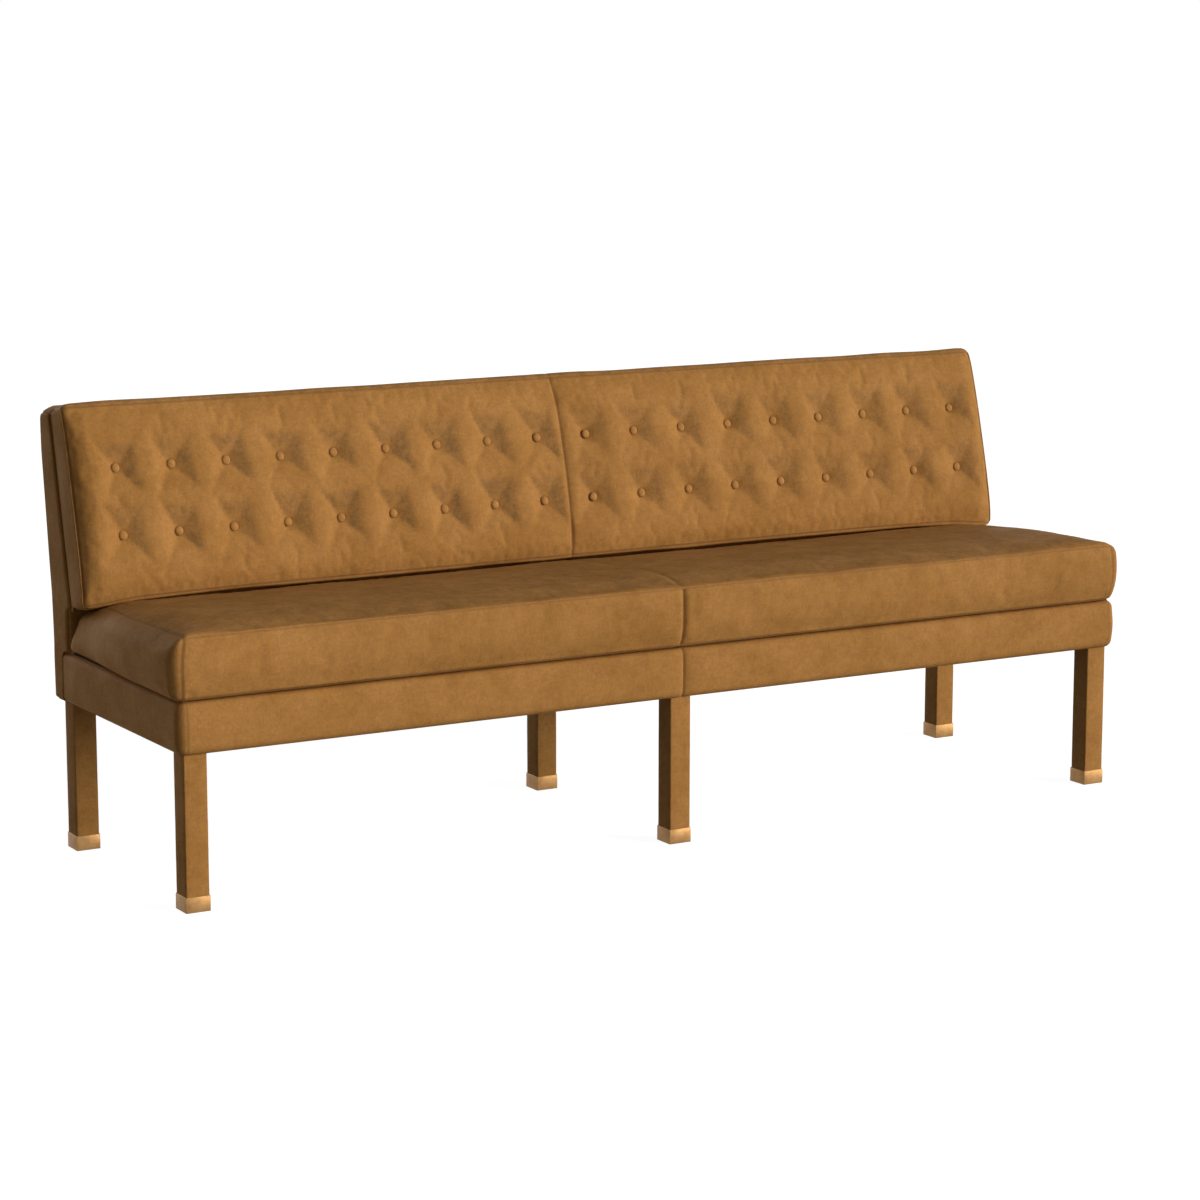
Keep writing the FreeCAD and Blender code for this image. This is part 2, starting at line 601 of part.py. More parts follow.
def make_webbing():
    """Straps stretched from the front rails to the rear rails."""
    body = new_body("seat_webbing")
    sketch = new_sketch(body, "strap_outline", "XY_Plane", "Places.rail_top")
    start = "(Sizes.strap_count - 1) * Sizes.strap_pitch / 2"
    front = "Places.cover_front + Sizes.hem + Sizes.cover_play"
    back = "Places.post_front + Sizes.rail_thickness"
    draw_rectangle(sketch, ("-(%s) - Sizes.strap_width / 2" % start, front),
                   ("-(%s) + Sizes.strap_width / 2" % start, back))
    strap = add_pad(body, sketch, "Sizes.strap_thickness")
    row = body.newObject("PartDesign::LinearPattern", "strap_row")
    row.Originals = [strap]
    row.Direction = (sketch, ["H_Axis"])
    bind(row, Length="(Sizes.strap_count - 1) * Sizes.strap_pitch", Occurrences="Sizes.strap_count")
    body.Tip = row
    keep(body, "seat_webbing")


def make_deck_cloth():
    """The cloth over the webbing that the cushion lies on."""
    body = new_body("deck_cloth")
    sketch = new_sketch(body, "deck_outline", "XY_Plane", "Places.rail_top + Sizes.strap_thickness")
    half = "(Places.half_cover - Sizes.hem / 2)"
    draw_rectangle(sketch, ("-" + half, "Places.cover_front + Sizes.hem / 2"),
                   (half, "Places.lower_back_face - Sizes.slide_gap"))
    add_pad(body, sketch, "Sizes.cloth")
    keep(body, "deck_cloth")


def make_dust_cloth():
    """The thin cloth under the frame, cut out round the legs."""
    body = new_body("dust_cloth")
    sketch = new_sketch(body, "dust_outline", "XY_Plane", "Places.wood_bottom - Sizes.cloth")
    half = "(Sizes.leg_spacing + Places.wrap_side / 2 - Sizes.fit_gap)"
    front = "Places.front_leg - Places.wrap_side / 2 + Sizes.fit_gap"
    draw_rectangle(sketch, ("-" + half, front), (half, "Places.back_seam - Sizes.leather"))
    add_pad(body, sketch, "Sizes.cloth")
    holes = new_sketch(body, "dust_holes", "XY_Plane", "Places.wood_bottom - Sizes.cloth")
    reach = "(Places.wrap_side / 2 + Sizes.fit_gap)"
    for name, x, y in leg_places():
        low = (x + " - " + reach, y + " - " + reach)
        high = (x + " + " + reach, y + " + " + reach)
        draw_rectangle(holes, low, high)
    add_pocket(body, holes, "Sizes.cloth", True)
    keep(body, "dust_cloth")


def apron_envelope(name, inset, radius):
    """The rolled block round the seat frame, drawn in all round by the inset."""
    body = new_body(name)
    sketch = new_sketch(body, name + "_plan", "XY_Plane", "Sizes.seat_underside + " + inset)
    half = "(Places.half_cover - %s)" % inset
    back = "Places.back_seam - Sizes.fit_gap"
    draw_rectangle(sketch, ("-" + half, "Places.cover_front + " + inset), (half, back))
    block = add_pad(body, sketch, "Sizes.rail_height + 2 * (Sizes.leather - %s)" % inset)
    doc.recompute()
    bounds = block.Shape.BoundBox

    def on_face(edge):
        front = near(edge.YMax, bounds.YMin)
        ends = near(edge.XMin, bounds.XMax) or near(edge.XMax, bounds.XMin)
        upright = not near(edge.ZMin, edge.ZMax)
        at_back = near(edge.YMin, bounds.YMax)
        return (front or ends) and not (upright and at_back)

    add_edge_feature(body, "Fillet", block, on_face, "Radius", radius)
    return body


def make_apron():
    """Wadding and leather round the front and the ends of the seat frame."""
    frame = box("apron_frame_space", ("-Places.half_frame - Sizes.fit_gap / 2",
                                      "Places.frame_front - Sizes.fit_gap / 2",
                                      "Sizes.seat_underside - Sizes.overrun"),
                ("2 * Places.half_frame + Sizes.fit_gap", "Sizes.leg_depth_spacing + Sizes.overrun",
                 "Sizes.rail_height + 2 * Sizes.overrun"))
    filling = apron_envelope("apron_filling", "(Sizes.leather + Sizes.fit_gap / 2)",
                             "Sizes.apron_roll - Sizes.leather")
    keep(cut("apron_wadding", filling, frame), "apron_wadding")
    outer = apron_envelope("apron_outer", "0", "Sizes.apron_roll")
    inner = apron_envelope("apron_inner", "Sizes.leather", "Sizes.apron_roll - Sizes.leather")
    top = box("apron_top_window", ("-Places.half_cover + Sizes.hem", "Places.cover_front + Sizes.hem",
                                   "Places.rail_top - Sizes.hem"),
              ("2 * (Places.half_cover - Sizes.hem)", "Sizes.leg_depth_spacing + Sizes.overrun",
               "Sizes.hem + Sizes.overrun"))
    reach = "(Places.wrap_side / 2 + Sizes.fit_gap)"
    bottom = box("apron_bottom_window", ("-Sizes.leg_spacing - " + reach, "Places.front_leg - " + reach,
                                         "Sizes.seat_underside - Sizes.overrun"),
                 ("2 * (Sizes.leg_spacing + %s)" % reach, "Sizes.leg_depth_spacing + Sizes.overrun",
                  "Sizes.overrun + Sizes.hem"))
    half = "(Places.half_frame + Sizes.fit_gap / 2)"
    back = box("apron_back_window", ("-" + half, "Places.post_front - Sizes.fit_gap",
                                     "Places.rail_top - Sizes.hem"),
               ("2 * " + half, "Sizes.post_side", "Sizes.hem + Sizes.overrun"))
    keep(cut("apron_cover", outer, group("apron_space", [inner, top, bottom, back])), "apron_cover")


def offset_points(points, inset):
    """Move each point of a closed ring, given anticlockwise, inwards across the ring's edge."""
    moved = []
    for index, point in enumerate(points):
        before = point - points[index - 1]
        after = points[(index + 1) % len(points)] - point
        first = Vector(0, before.z, -before.y).normalize()
        second = Vector(0, after.z, -after.y).normalize()
        mitre = (first + second) / (1 + first.dot(second))
        moved.append(point - mitre * inset)
    return moved


def edge_through(start, middle, end):
    """An arc through three points, or a straight edge where they lie in line."""
    span = end - start
    if span.cross(middle - start).Length < STRAIGHT_SHARE * span.Length ** 2:
        return Part.LineSegment(start, end).toShape()
    return Part.Arc(start, middle, end).toShape()


def ring_wire(points):
    """A closed wire through a ring in which every second point is the middle of an edge."""
    count = len(points)
    return Part.Wire([edge_through(points[i], points[i + 1], points[(i + 2) % count])
                      for i in range(0, count, 2)])


def rounded_wire(corners, radii, inset):
    """A closed wire through corners given anticlockwise, each rounded by its own radius."""
    moved = offset_points(corners, inset)
    ends = []
    for index, corner in enumerate(moved):
        radius = max(radii[index] - inset, radii[index] * LEAST_RADIUS_SHARE)
        into = (corner - moved[index - 1]).normalize()
        out = (moved[(index + 1) % len(moved)] - corner).normalize()
        half_turn = into.getAngle(out) / 2
        reach = radius * math.tan(half_turn)
        inward = (out - into).normalize()
        middle = corner + inward * (radius / math.cos(half_turn) - radius)
        ends.append((corner - into * reach, middle, corner + out * reach))
    edges = []
    for index, (start, middle, end) in enumerate(ends):
        edges.append(Part.Arc(start, middle, end).toShape())
        edges.append(Part.LineSegment(end, ends[(index + 1) % len(ends)][0]).toShape())
    return Part.Wire(edges)


def add_shape(name, shape):
    """A sub-part whose shape is worked out from the sheet."""
    feature = doc.addObject("Part::Feature", name)
    feature.Shape = shape
    return feature


def span_sections(half_width, end_roll, seam_depth, inset):
    """Stations of a soft piece along the bench: x, share of the crown, end draw and seam draw."""
    half = [((half_width - end_roll) * along, crown, 0) for along, crown in SPAN_SHARES]
    half += [(half_width - end_roll * (1 - along), crown, end_roll * drawn)
             for along, crown, drawn in END_SHARES]
    squeeze = (half_width - inset) / half_width
    right = [(x * squeeze, crown, drawn, 0) for x, crown, drawn in half]
    left = [(-x, crown, drawn, 0) for x, crown, drawn, seam in right[::-1]]
    return left + [(0, 0, 0, seam_depth)] + right


def cushion_solid(inset):
    """The box cushion, crowned in each half and drawn in at its ends and middle seam."""
    front = place("front_leg") - size("cushion_reach")
    depth = place("lower_back_face") - size("cushion_rear_gap") - front
    wires = []
    bottom = place("cushion_bottom")
    stations = span_sections(size("cushion_half_width"), size("cushion_end_roll"),
                             size("cushion_seam_depth"), inset)
    for x, crown, drawn, seam in stations:
        rise = size("cushion_crown") * crown
        ring = [Vector(x, front + depth * along, bottom + size("cushion_height") * up + rise * lift)
                for along, up, lift in CUSHION_SHARES]
        wires.append(ring_wire(offset_points(ring, drawn + seam + inset)))
    return Part.makeLoft(wires, True, True)


def zip_space(play):
    """The slot for the zip along the rear of the cushion."""
    back = place("lower_back_face") - size("cushion_rear_gap")
    low = place("cushion_bottom") + size("cushion_height") / 4
    length = size("zip_length") + 2 * play
    width = size("zip_width") + 2 * play
    thick = size("zip_thickness") + play
    middle = 2 * size("cushion_seam_depth")
    past = size("overrun") if play else 0
    slot = Part.makeBox(length / 2 - middle, thick + past, width)
    sides = []
    for start in (-length / 2, middle):
        side = slot.copy()
        side.translate(Vector(start, back - thick, low - play))
        sides.append(side)
    return sides


def make_cushion():
    """Foam core, leather cover and zip of the loose seat cushion."""
    play = size("cover_play")
    cover = cushion_solid(0).cut(cushion_solid(size("leather")))
    keep(add_shape("cushion_cover", cover.cut(zip_space(play))), "cushion_cover")
    keep(add_shape("cushion_foam", cushion_solid(size("leather") + play)), "cushion_foam")
    keep(add_shape("cushion_zip", Part.Compound(zip_space(0))), "cushion_zip")


def lean_shape(shape):
    """Move a shape from the raked frame of the back to its place."""
    shape.rotate(Vector(), Vector(1, 0, 0), -size("back_rake"))
    shape.translate(Vector(0, place("back_y"), size("back_start_height")))
    return shape


def pad_solid(inset):
    """The back pad in its raked frame, crowned on its face, with rolled edges."""
    low = -size("back_drop")
    high = low + place("pad_height")
    back = -size("cover_play")
    roll = size("pad_roll")
    bend = roll * (1 - math.sqrt(0.5))
    thin = -size("pad_thickness_high")
    thick = -size("pad_thickness_low")
    wires = []
    stations = span_sections(size("pad_half_width"), size("pad_end_roll"), size("pad_seam_depth"), inset)
    for x, crown, drawn, seam in stations:
        foot = low + drawn
        head = high - drawn
        upper = thin + drawn + seam
        lower = thick + drawn + seam
        middle = (low + high) / 2
        corners = [(lower + roll, foot), ((lower + roll + back) / 2, foot), (back, foot), (back, middle),
                   (back, head), ((upper + roll + back) / 2, head), (upper + roll, head),
                   (upper + bend, head - bend), (upper, head - roll),
                   ((upper + lower) / 2 - size("pad_crown") * crown, middle),
                   (lower, foot + roll), (lower + bend, foot + bend)]
        ring = [Vector(x, y, z) for y, z in corners]
        wires.append(ring_wire(offset_points(ring, inset)))
    return Part.makeLoft(wires, True, True)


def button_centres():
    """Places of one row of buttons along the bench."""
    steps = [(index + 0.5) * size("button_pitch") for index in range(int(size("button_count")))]
    return [-x for x in steps[::-1]] + steps


def button_seat(up):
    """How far in front of the raked frame's face the buttons of a row are seated."""
    share = (up + size("back_drop")) / place("pad_height")
    flat = size("pad_thickness_low") + (size("pad_thickness_high") - size("pad_thickness_low")) * share
    return flat + size("pad_crown") * ROW_CROWN_SHARE - size("tuft_depth")


def tuft_cutter(x, up, inset):
    """The dimple round one button, with the bore for its twine."""
    seat = -(button_seat(up) - inset)
    inner = size("button_diameter") / 2 + inset
    outer = size("tuft_diameter") / 2 + inset
    face = seat - size("tuft_depth")
    middle = Vector(inner + (outer - inner) * TUFT_OUT_SHARE, face + size("tuft_depth") * TUFT_DEPTH_SHARE, 0)
    bore = (size("twine_diameter") + size("twine_play")) / 2
    far = face - size("overrun")
    edges = [Part.LineSegment(Vector(0, size("overrun"), 0), Vector(bore, size("overrun"), 0)),
             Part.LineSegment(Vector(bore, size("overrun"), 0), Vector(bore, seat, 0)),
             Part.LineSegment(Vector(bore, seat, 0), Vector(inner, seat, 0)),
             Part.Arc(Vector(inner, seat, 0), middle, Vector(outer, face, 0)),
             Part.LineSegment(Vector(outer, face, 0), Vector(outer, far, 0)),
             Part.LineSegment(Vector(outer, far, 0), Vector(0, far, 0)),
             Part.LineSegment(Vector(0, far, 0), Vector(0, size("overrun"), 0))]
    profile = Part.Face(Part.Wire([edge.toShape() for edge in edges]))
    cutter = profile.revolve(Vector(), Vector(0, 1, 0), 360)
    cutter.translate(Vector(x, 0, up))
    return cutter


def tufted(inset):
    """The pad solid with its rows of dimples."""
    rows = (place("low_row"), place("high_row"))
    return pad_solid(inset).cut([tuft_cutter(x, up, inset) for up in rows for x in button_centres()])


def block(low, high):
    """A plain block between two corners."""
    shape = Part.makeBox(high[0] - low[0], high[1] - low[1], high[2] - low[2])
    shape.translate(Vector(*low))
    return shape


def make_pad():
    """Leather cover and foam of the buttoned back pad."""
    play = size("cover_play")
    flange = size("pad_flange")
    half = size("pad_half_width")
    low = -size("back_drop")
    high = low + place("pad_height")
    window = block((-half + flange, -place("pad_board_back"), low + flange),
                   (half - flange, size("overrun"), high - flange))
    cover = tufted(0).cut(tufted(size("leather"))).cut(window)
    keep(add_shape("pad_cover", lean_shape(cover)), "pad_cover")
    board_space = block((-half, -place("pad_board_front"), low - size("overrun")),
                        (half, size("overrun"), high + size("overrun")))
    foam = tufted(size("leather") + play).cut(board_space)
    keep(add_shape("pad_foam", lean_shape(foam)), "pad_foam")


def row_centres(up):
    """Formulas of the places of one row of buttons in the raked frame."""
    count = int(size("button_count"))
    return [("%s * %s * Sizes.button_pitch" % (side, index + 0.5), up)
            for half, side in HALVES for index in range(count)]


def seat_formula(up):
    """Formula of button_seat for a row."""
    flat = "(Sizes.pad_thickness_low + (Sizes.pad_thickness_high - Sizes.pad_thickness_low)"
    flat += " * (%s + Sizes.back_drop) / Places.pad_height)" % up
    return "%s + Sizes.pad_crown * %s - Sizes.tuft_depth" % (flat, ROW_CROWN_SHARE)


def make_pad_board():
    """The plywood board inside the pad, bored for the twine and the screws."""
    blank = new_body("pad_board_blank")
    sketch = new_sketch(blank, "pad_board_outline", "XZ_Plane", "Places.pad_board_back")
    edge = "(Sizes.leather + Sizes.cover_play * 2)"
    half = "(Sizes.pad_half_width - Sizes.pad_roll - %s)" % edge
    draw_rectangle(sketch, ("-" + half, "%s - Sizes.back_drop" % edge),
                   (half, "Places.pad_height - Sizes.back_drop - " + edge))
    add_pad(blank, sketch, "Sizes.pad_board")
    holes = new_sketch(blank, "pad_board_holes", "XZ_Plane", "Places.pad_board_back")
    bore = "(Sizes.twine_diameter + Sizes.twine_play) / 2"
    draw_circles(holes, row_centres("Places.low_row") + row_centres("Places.high_row"), bore)
    add_pocket(blank, holes, "Sizes.pad_board", True)
    lean(blank)
    keep(cut("pad_board", blank, make_pad_screws("pad_board_bores", "Sizes.bore_play")), "pad_board")


def make_buttons(name, up):
    """One row of leather-covered buttons, rounded on their faces."""
    body = new_body(name)
    seat = seat_formula(up) + " + Sizes.fit_gap"
    sketch = new_sketch(body, name + "_plan", "XZ_Plane", seat)
    draw_circles(sketch, row_centres(up), "Sizes.button_diameter / 2 - Sizes.cover_play")
    discs = add_pad(body, sketch, "Sizes.button_height")
    doc.recompute()
    face = discs.Shape.BoundBox.YMin

    def on_button_face(edge):
        return near(edge.YMax, face)

    add_edge_feature(body, "Fillet", discs, on_button_face, "Radius", "Sizes.button_dome")
    keep(lean(body), name)


def make_twines():
    """The twine of each button, and the washer that holds it behind the pad board."""
    twines = new_body("button_twines")
    for name, up in (("low", "Places.low_row"), ("high", "Places.high_row")):
        sketch = new_sketch(twines, "twine_plan_" + name, "XZ_Plane", "Places.pad_board_back - Sizes.fit_gap")
        draw_circles(sketch, row_centres(up), "Sizes.twine_diameter / 2")
        add_pad(twines, sketch, "%s + 2 * Sizes.fit_gap - Places.pad_board_back" % seat_formula(up))
    keep(lean(twines), "button_twines")
    washers = new_body("twine_washers")
    sketch = new_sketch(washers, "washer_plan", "XZ_Plane", "Places.pad_board_back - Sizes.fit_gap")
    draw_circles(sketch, row_centres("Places.low_row") + row_centres("Places.high_row"),
                 "Sizes.toggle_diameter / 2")
    add_pad(washers, sketch, "Sizes.toggle_height").Reversed = True
    keep(lean(washers), "twine_washers")


def back_outline():
    """Corners of the covered outer back seen from its end, anticlockwise, with their radii."""
    rear = place("rear_leg")
    sine = place("lean_sine")
    cosine = place("lean_cosine")
    foot = size("back_start_height")
    head_y = place("back_y") + size("back_height") * sine
    head_z = foot + size("back_height") * cosine
    lip_y = place("back_y") - size("back_drop") * sine
    lip_z = foot - size("back_drop") * cosine
    top_y = rear + size("rear_reach")
    top_z = head_z - (top_y - head_y) * sine / cosine
    edge = size("back_edge")
    bend = size("back_bend")
    fold = size("leather")
    sill = place("cover_top") + size("fit_gap")
    corners = [(place("back_seam"), size("seat_underside"), edge),
               (rear + size("back_foot_reach"), size("seat_underside"), 2 * edge),
               (rear + size("back_waist_reach"), size("back_waist_height"), bend),
               (rear + size("back_shoulder_reach"), size("back_shoulder_height"), bend),
               (top_y, top_z, size("back_corner")),
               (head_y, head_z, fold),
               (lip_y, lip_z, fold),
               (place("lower_back_face"), lip_z, fold / 2),
               (place("lower_back_face"), sill, fold),
               (place("back_seam"), sill, fold / 2)]
    return [Vector(0, y, z) for y, z, radius in corners], [radius for y, z, radius in corners]


def back_solid(inset):
    """The outer back as a full solid, its ends rolled over by the edge radius."""
    corners, radii = back_outline()
    half = place("half_cover") - inset
    roll = 2 * size("back_edge") - inset
    bend = roll * (1 - math.sqrt(0.5))
    stations = [(half, 2 * bend), (half - bend, bend), (half - roll, 0)]
    stations += [(-x, drawn) for x, drawn in stations[::-1]]
    wires = []
    for x, drawn in stations:
        wire = rounded_wire(corners, radii, inset + drawn)
        wire.translate(Vector(x, 0, 0))
        wires.append(wire)
    return Part.makeLoft(wires, True, True)


def frame_window():
    """The space that the frame's front, underside and posts take inside the outer back."""
    half = place("half_frame") + size("fit_gap") / 2
    front = place("back_seam") - 2 * size("overrun")
    rear = place("rear_leg") + size("back_foot_reach") - size("wadding")
    inside = place("lower_back_face") + size("leather")
    bottom = size("seat_underside") - size("overrun")
    sill = place("cover_top") + size("leather") + 2 * size("fit_gap")
    corners = [(front, bottom), (rear, bottom), (rear, sill), (inside, sill), (inside, place("cover_top")),
               (front, place("cover_top"))]
    wire = Part.makePolygon([Vector(-half, y, z) for y, z in corners + corners[:1]])
    return Part.Face(wire).extrude(Vector(2 * half, 0, 0))


def make_outer_back():
    """Wadding and leather round the top, the ends and the rear of the back frame."""
    play = size("cover_play")
    leather = size("leather")
    half = place("half_cover")
    flange = size("back_flange")
    window = lean_shape(block((-half + flange, -size("overrun"), flange - size("back_drop")),
                              (half - flange, leather + play, size("back_height") - flange)))
    cover = back_solid(0).cut([back_solid(leather), frame_window(), window])
    keep(add_shape("outer_back_cover", cover), "outer_back_cover")
    stack = leather + size("wadding")
    front = lean_shape(block((-half, -size("overrun") * 2, -size("back_drop") * 2),
                             (half, place("wood_behind"), size("back_height") + size("overrun"))))
    lower = block((-half, place("lower_back_face") - size("overrun"), 0),
                  (half, place("back_seam") + play, size("back_start_height")))
    wadding = back_solid(leather + play / 2).cut([frame_core(stack - play), front, lower, frame_window()])
    keep(add_shape("outer_back_wadding", wadding), "outer_back_wadding")


def frame_core(inset):
    """The space inside the wadding of the outer back, open to the front and below."""
    corners, radii = back_outline()
    half = place("half_frame") + size("fit_gap") / 2
    inner = offset_points(corners, inset)
    down = (inner[1] - inner[2]).normalize() * size("overrun")
    forward = (inner[5] - inner[4]).normalize() * size("back_height")
    ring = [inner[1] + down + forward, inner[1] + down, inner[2], inner[3], inner[4], inner[5] + forward]
    wire = Part.makePolygon(ring + ring[:1])
    wire.translate(Vector(-half, 0, 0))
    return Part.Face(wire).extrude(Vector(2 * half, 0, 0))


def check_and_write():
    """Stop on any failed object, then write one file for each sub-part."""
    doc.recompute()
    failed = [item.Name for item in doc.Objects if "Invalid" in item.State or "Error" in item.State]
    for piece in pieces:
        if piece.Shape.isNull() or not piece.Shape.isValid() or not piece.Shape.Solids:
            failed.append(piece.Label)
    if failed:
        raise ValueError("failed: " + ", ".join(failed))
    os.makedirs("parts", exist_ok=True)
    for piece in pieces:
        piece.Shape.exportStep("parts/%s.step" % piece.Label)


def build_bench():
    """Every sub-part of the bench, from the floor up."""
    fill_sheet()
    fill_places()
    bores = make_bores()
    make_fasteners()
    make_legs(bores)
    make_seat_frame(bores)
    make_back_posts(bores)
    make_back_rails(bores)
    make_back_board()
    make_webbing()
    make_deck_cloth()
    make_dust_cloth()
    make_apron()
    make_cushion()
    make_pad_board()
    make_pad()
    make_buttons("buttons_lower_row", "Places.low_row")
    make_buttons("buttons_upper_row", "Places.high_row")
    make_twines()
    make_outer_back()
    check_and_write()


build_bench()
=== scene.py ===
"""Looks of the upholstered banquette bench: leather, brass, cloth and thread, and its picture's stage.

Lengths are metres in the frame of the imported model: X along the bench, -Y towards the sitter, +Z up.
Padded pieces are drawn as boxes whose grid lines run along, from front to rear and from low to high.
"""
import math

import bmesh
import bpy
import numpy as np
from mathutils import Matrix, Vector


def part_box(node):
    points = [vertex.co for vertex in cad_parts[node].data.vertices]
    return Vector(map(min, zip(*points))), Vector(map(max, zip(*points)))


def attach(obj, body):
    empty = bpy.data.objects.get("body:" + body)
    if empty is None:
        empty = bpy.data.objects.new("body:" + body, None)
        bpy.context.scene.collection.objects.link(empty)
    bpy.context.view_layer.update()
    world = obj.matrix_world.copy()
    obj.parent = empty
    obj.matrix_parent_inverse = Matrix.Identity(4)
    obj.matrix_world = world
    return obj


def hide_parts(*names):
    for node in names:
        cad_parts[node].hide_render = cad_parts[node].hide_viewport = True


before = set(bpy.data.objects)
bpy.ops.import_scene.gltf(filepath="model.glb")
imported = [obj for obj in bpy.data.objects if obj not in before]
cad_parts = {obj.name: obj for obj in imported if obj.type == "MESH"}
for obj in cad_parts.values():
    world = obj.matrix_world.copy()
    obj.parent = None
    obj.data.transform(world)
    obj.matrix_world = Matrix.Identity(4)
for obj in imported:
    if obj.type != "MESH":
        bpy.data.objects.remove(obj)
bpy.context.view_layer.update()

bl_info = {
    "name": "Banquette Bench Looks",
    "version": (1, 0, 0),
    "blender": (4, 5, 0),
    "location": "3D View > Sidebar > Banquette",
    "description": "Leather, brass, cloth and thread of an upholstered banquette bench, and its stage",
    "category": "Object",
}

SIDES = ("left", "middle", "right")
ROWS = ("front", "rear")

# Outline of the seat cushion seen from its end: share of the depth, share of the height and share of the
# crown. Each side starts at a seam, and the sides run round from the lower front seam.
SEAT_OUTLINE_SHARES = {
    "bottom": [(0.024, 0.058, 0), (0.052, 0.012, 0), (0.09, 0, 0), (0.5, 0, 0),
               (0.94, 0, 0), (0.975, 0.008, 0)],
    "rear": [(0.992, 0.06, 0), (1, 0.17, 0), (1, 0.33, 0), (0.999, 0.48, 0.05),
             (0.993, 0.57, 0.15)],
    "top": [(0.98, 0.645, 0.25), (0.945, 0.7, 0.28), (0.888, 0.76, 0.34), (0.842, 0.792, 0.78),
            (0.722, 0.858, 0.78), (0.56, 0.914, 0.87), (0.441, 0.941, 1.02), (0.3, 0.965, 1.08),
            (0.18, 0.99, 0.93), (0.11, 1.02, 0.55), (0.065, 1.044, 0.2), (0.038, 1.054, 0.08),
            (0.02, 1.052, 0.06), (0.01, 1.038, 0.05), (0.0058, 1.018, 0.03)],
    "front": [(0.0045, 0.996, 0.02), (0.002, 0.92, 0), (0.0005, 0.8, 0), (0, 0.66, 0),
              (0, 0.52, 0), (0.002, 0.345, 0), (0.012, 0.15, 0)],
}
# Outline of the back pad seen from its end, in the raked frame: share of the thickness behind the face,
# share of the height and share of the crown, with the seams on the face, a little in from its edges.
PAD_OUTLINE_SHARES = {
    "bottom": [(0.022, 0.026, 0.06), (0.024, 0.018, 0), (0.05, 0.013, 0), (0.12, 0.011, 0),
               (0.3, 0.008, 0), (0.6, 0.004, 0), (0.96, 0, 0)],
    "rear": [(1, 0.008, 0), (1, 0.03, 0), (1, 0.3, 0), (1, 0.7, 0),
             (1, 0.965, 0)],
    "top": [(1, 0.99, 0), (0.95, 1.001, 0), (0.8, 1.007, 0), (0.6, 1.009, 0),
            (0.42, 1.008, 0), (0.3, 1.0055, 0), (0.225, 1.0015, 0), (0.182, 0.9955, 0),
            (0.16, 0.989, 0)],
    "front": [(0.152, 0.979, 0.05), (0.13, 0.93, 0.36), (0.118, 0.86, 0.64), (0.096, 0.7, 0.92),
              (0.0685, 0.5, 1), (0.041, 0.3, 0.92), (0.019, 0.14, 0.64), (0.012, 0.08, 0.4)],
}
# Outline of the outer back seen from its end, as shares of its box's depth and height, with no crown
OUTER_BACK_OUTLINE_SHARES = {
    "bottom": [(0.326, 0, 0), (0.345, -0.005, 0), (0.62, -0.006, 0), (0.655, -0.002, 0)],
    "rear": [(0.668, 0.012, 0), (0.675, 0.06, 0), (0.7, 0.2, 0), (0.731, 0.327, 0),
             (0.8, 0.45, 0), (0.9, 0.66, 0), (0.992, 0.843, 0), (1, 0.92, 0),
             (0.998, 0.965, 0)],
    "top": [(0.975, 0.985, 0), (0.93, 0.997, 0), (0.86, 1, 0), (0.72, 1, 0),
            (0.66, 0.998, 0)],
    "front": [(0.628, 0.99, 0), (0.013, 0.34, 0), (0, 0.326, 0), (0.125, 0.322, 0),
              (0.135, 0.31, 0), (0.135, 0.1745, 0), (0.147, 0.1705, 0), (0.31, 0.17, 0),
              (0.326, 0.16, 0), (0.326, 0.01, 0)],
}
OUTER_BACK_WINDOW_SHARES = (0.400, 0.985)
OUTER_BACK_FLANGE = 0.026
OUTER_BACK_ROLL = 0.010
OUTER_BACK_CORNER_DROP = 0.009
# Reach of the dropped corner from the ends, from the top, and where it starts
OUTER_BACK_CORNER_REACH = (0.025, 0.05, 1.2)
# Spacing of grid lines beside the seams and away from them, and how far from a seam the change takes
OUTER_BACK_GRID = (0.0014, 0.013, 0.03)
OUTER_BACK_FREE = 0.03
OUTER_BACK_PUFF = 0.0004
REAR_SWELL = 0.0015
REAR_SWELL_REACH = (0.10, 0.08)
REAR_HOLLOW = (0.0028, 0.005)
# Widths of the painted shade lines along the outer back's edge seams and down the middle of its rear
REAR_SHADE_LINES = (0.0012, 0.0013)
# Depth and width of sewn grooves
OUTER_BACK_GROOVE = (0.0014, 0.0018)
REAR_GROOVE = (0.0016, 0.0016)
SEAT_GROOVE = (0.0007, 0.0012)
PAD_GROOVE = (0.0009, 0.0012)
# Swell beside a groove: its share of the depth, and its place and width as shares of the groove's width
GROOVE_SWELL = (0.3, 2.6, 1.4)
# Shares and widths of the crease and the hollow at a middle seam
SEAM_DIP = ((0.55, 0.0026), (0.45, 0.0085))
# Width of the painted shade line in a seam, and of the apron's corner grooves
SEAM_LINE = 0.0011
# Crown left beside the middle seam and at the ends, as shares of the full crown
SEAT_CROWN_SHARES = (0.97, 0.06)
PAD_CROWN_SHARES = (0.70, 0.33)
SEAT_CROWN_REACH = (0.06, 0.115)
PAD_CROWN_REACH = (0.10, 0.036)
SEAT_CROWN_CURVE = 1.8
PAD_CROWN_CURVE = 1.3
SEAT_SEAM_TURN = 0.06 * math.pi
PAD_SEAM_TURN = 0.28 * math.pi
PAD_END_SWELL = 0.004
PAD_SHIFT = 0.0055
PAD_LIP_RISE = 0.0045
PAD_CORNER_DROP = 0.008
PAD_REAR_TUCK = 0.003
PAD_REAR_DROP = 0.003
SEAT_UNDER_PAD_SHARE = 0.86
SEAT_SHIFT = -0.0135
SEAT_TUCK = 0.0005
# Strength of the painted shade over the seat's top
SEAT_TOP_SHADE = 0.72
SEAT_CORNER_DROP = 0.008
SEAT_EASE = -0.0006
SEAT_REAR_TAPER = (0.040, 0.012)
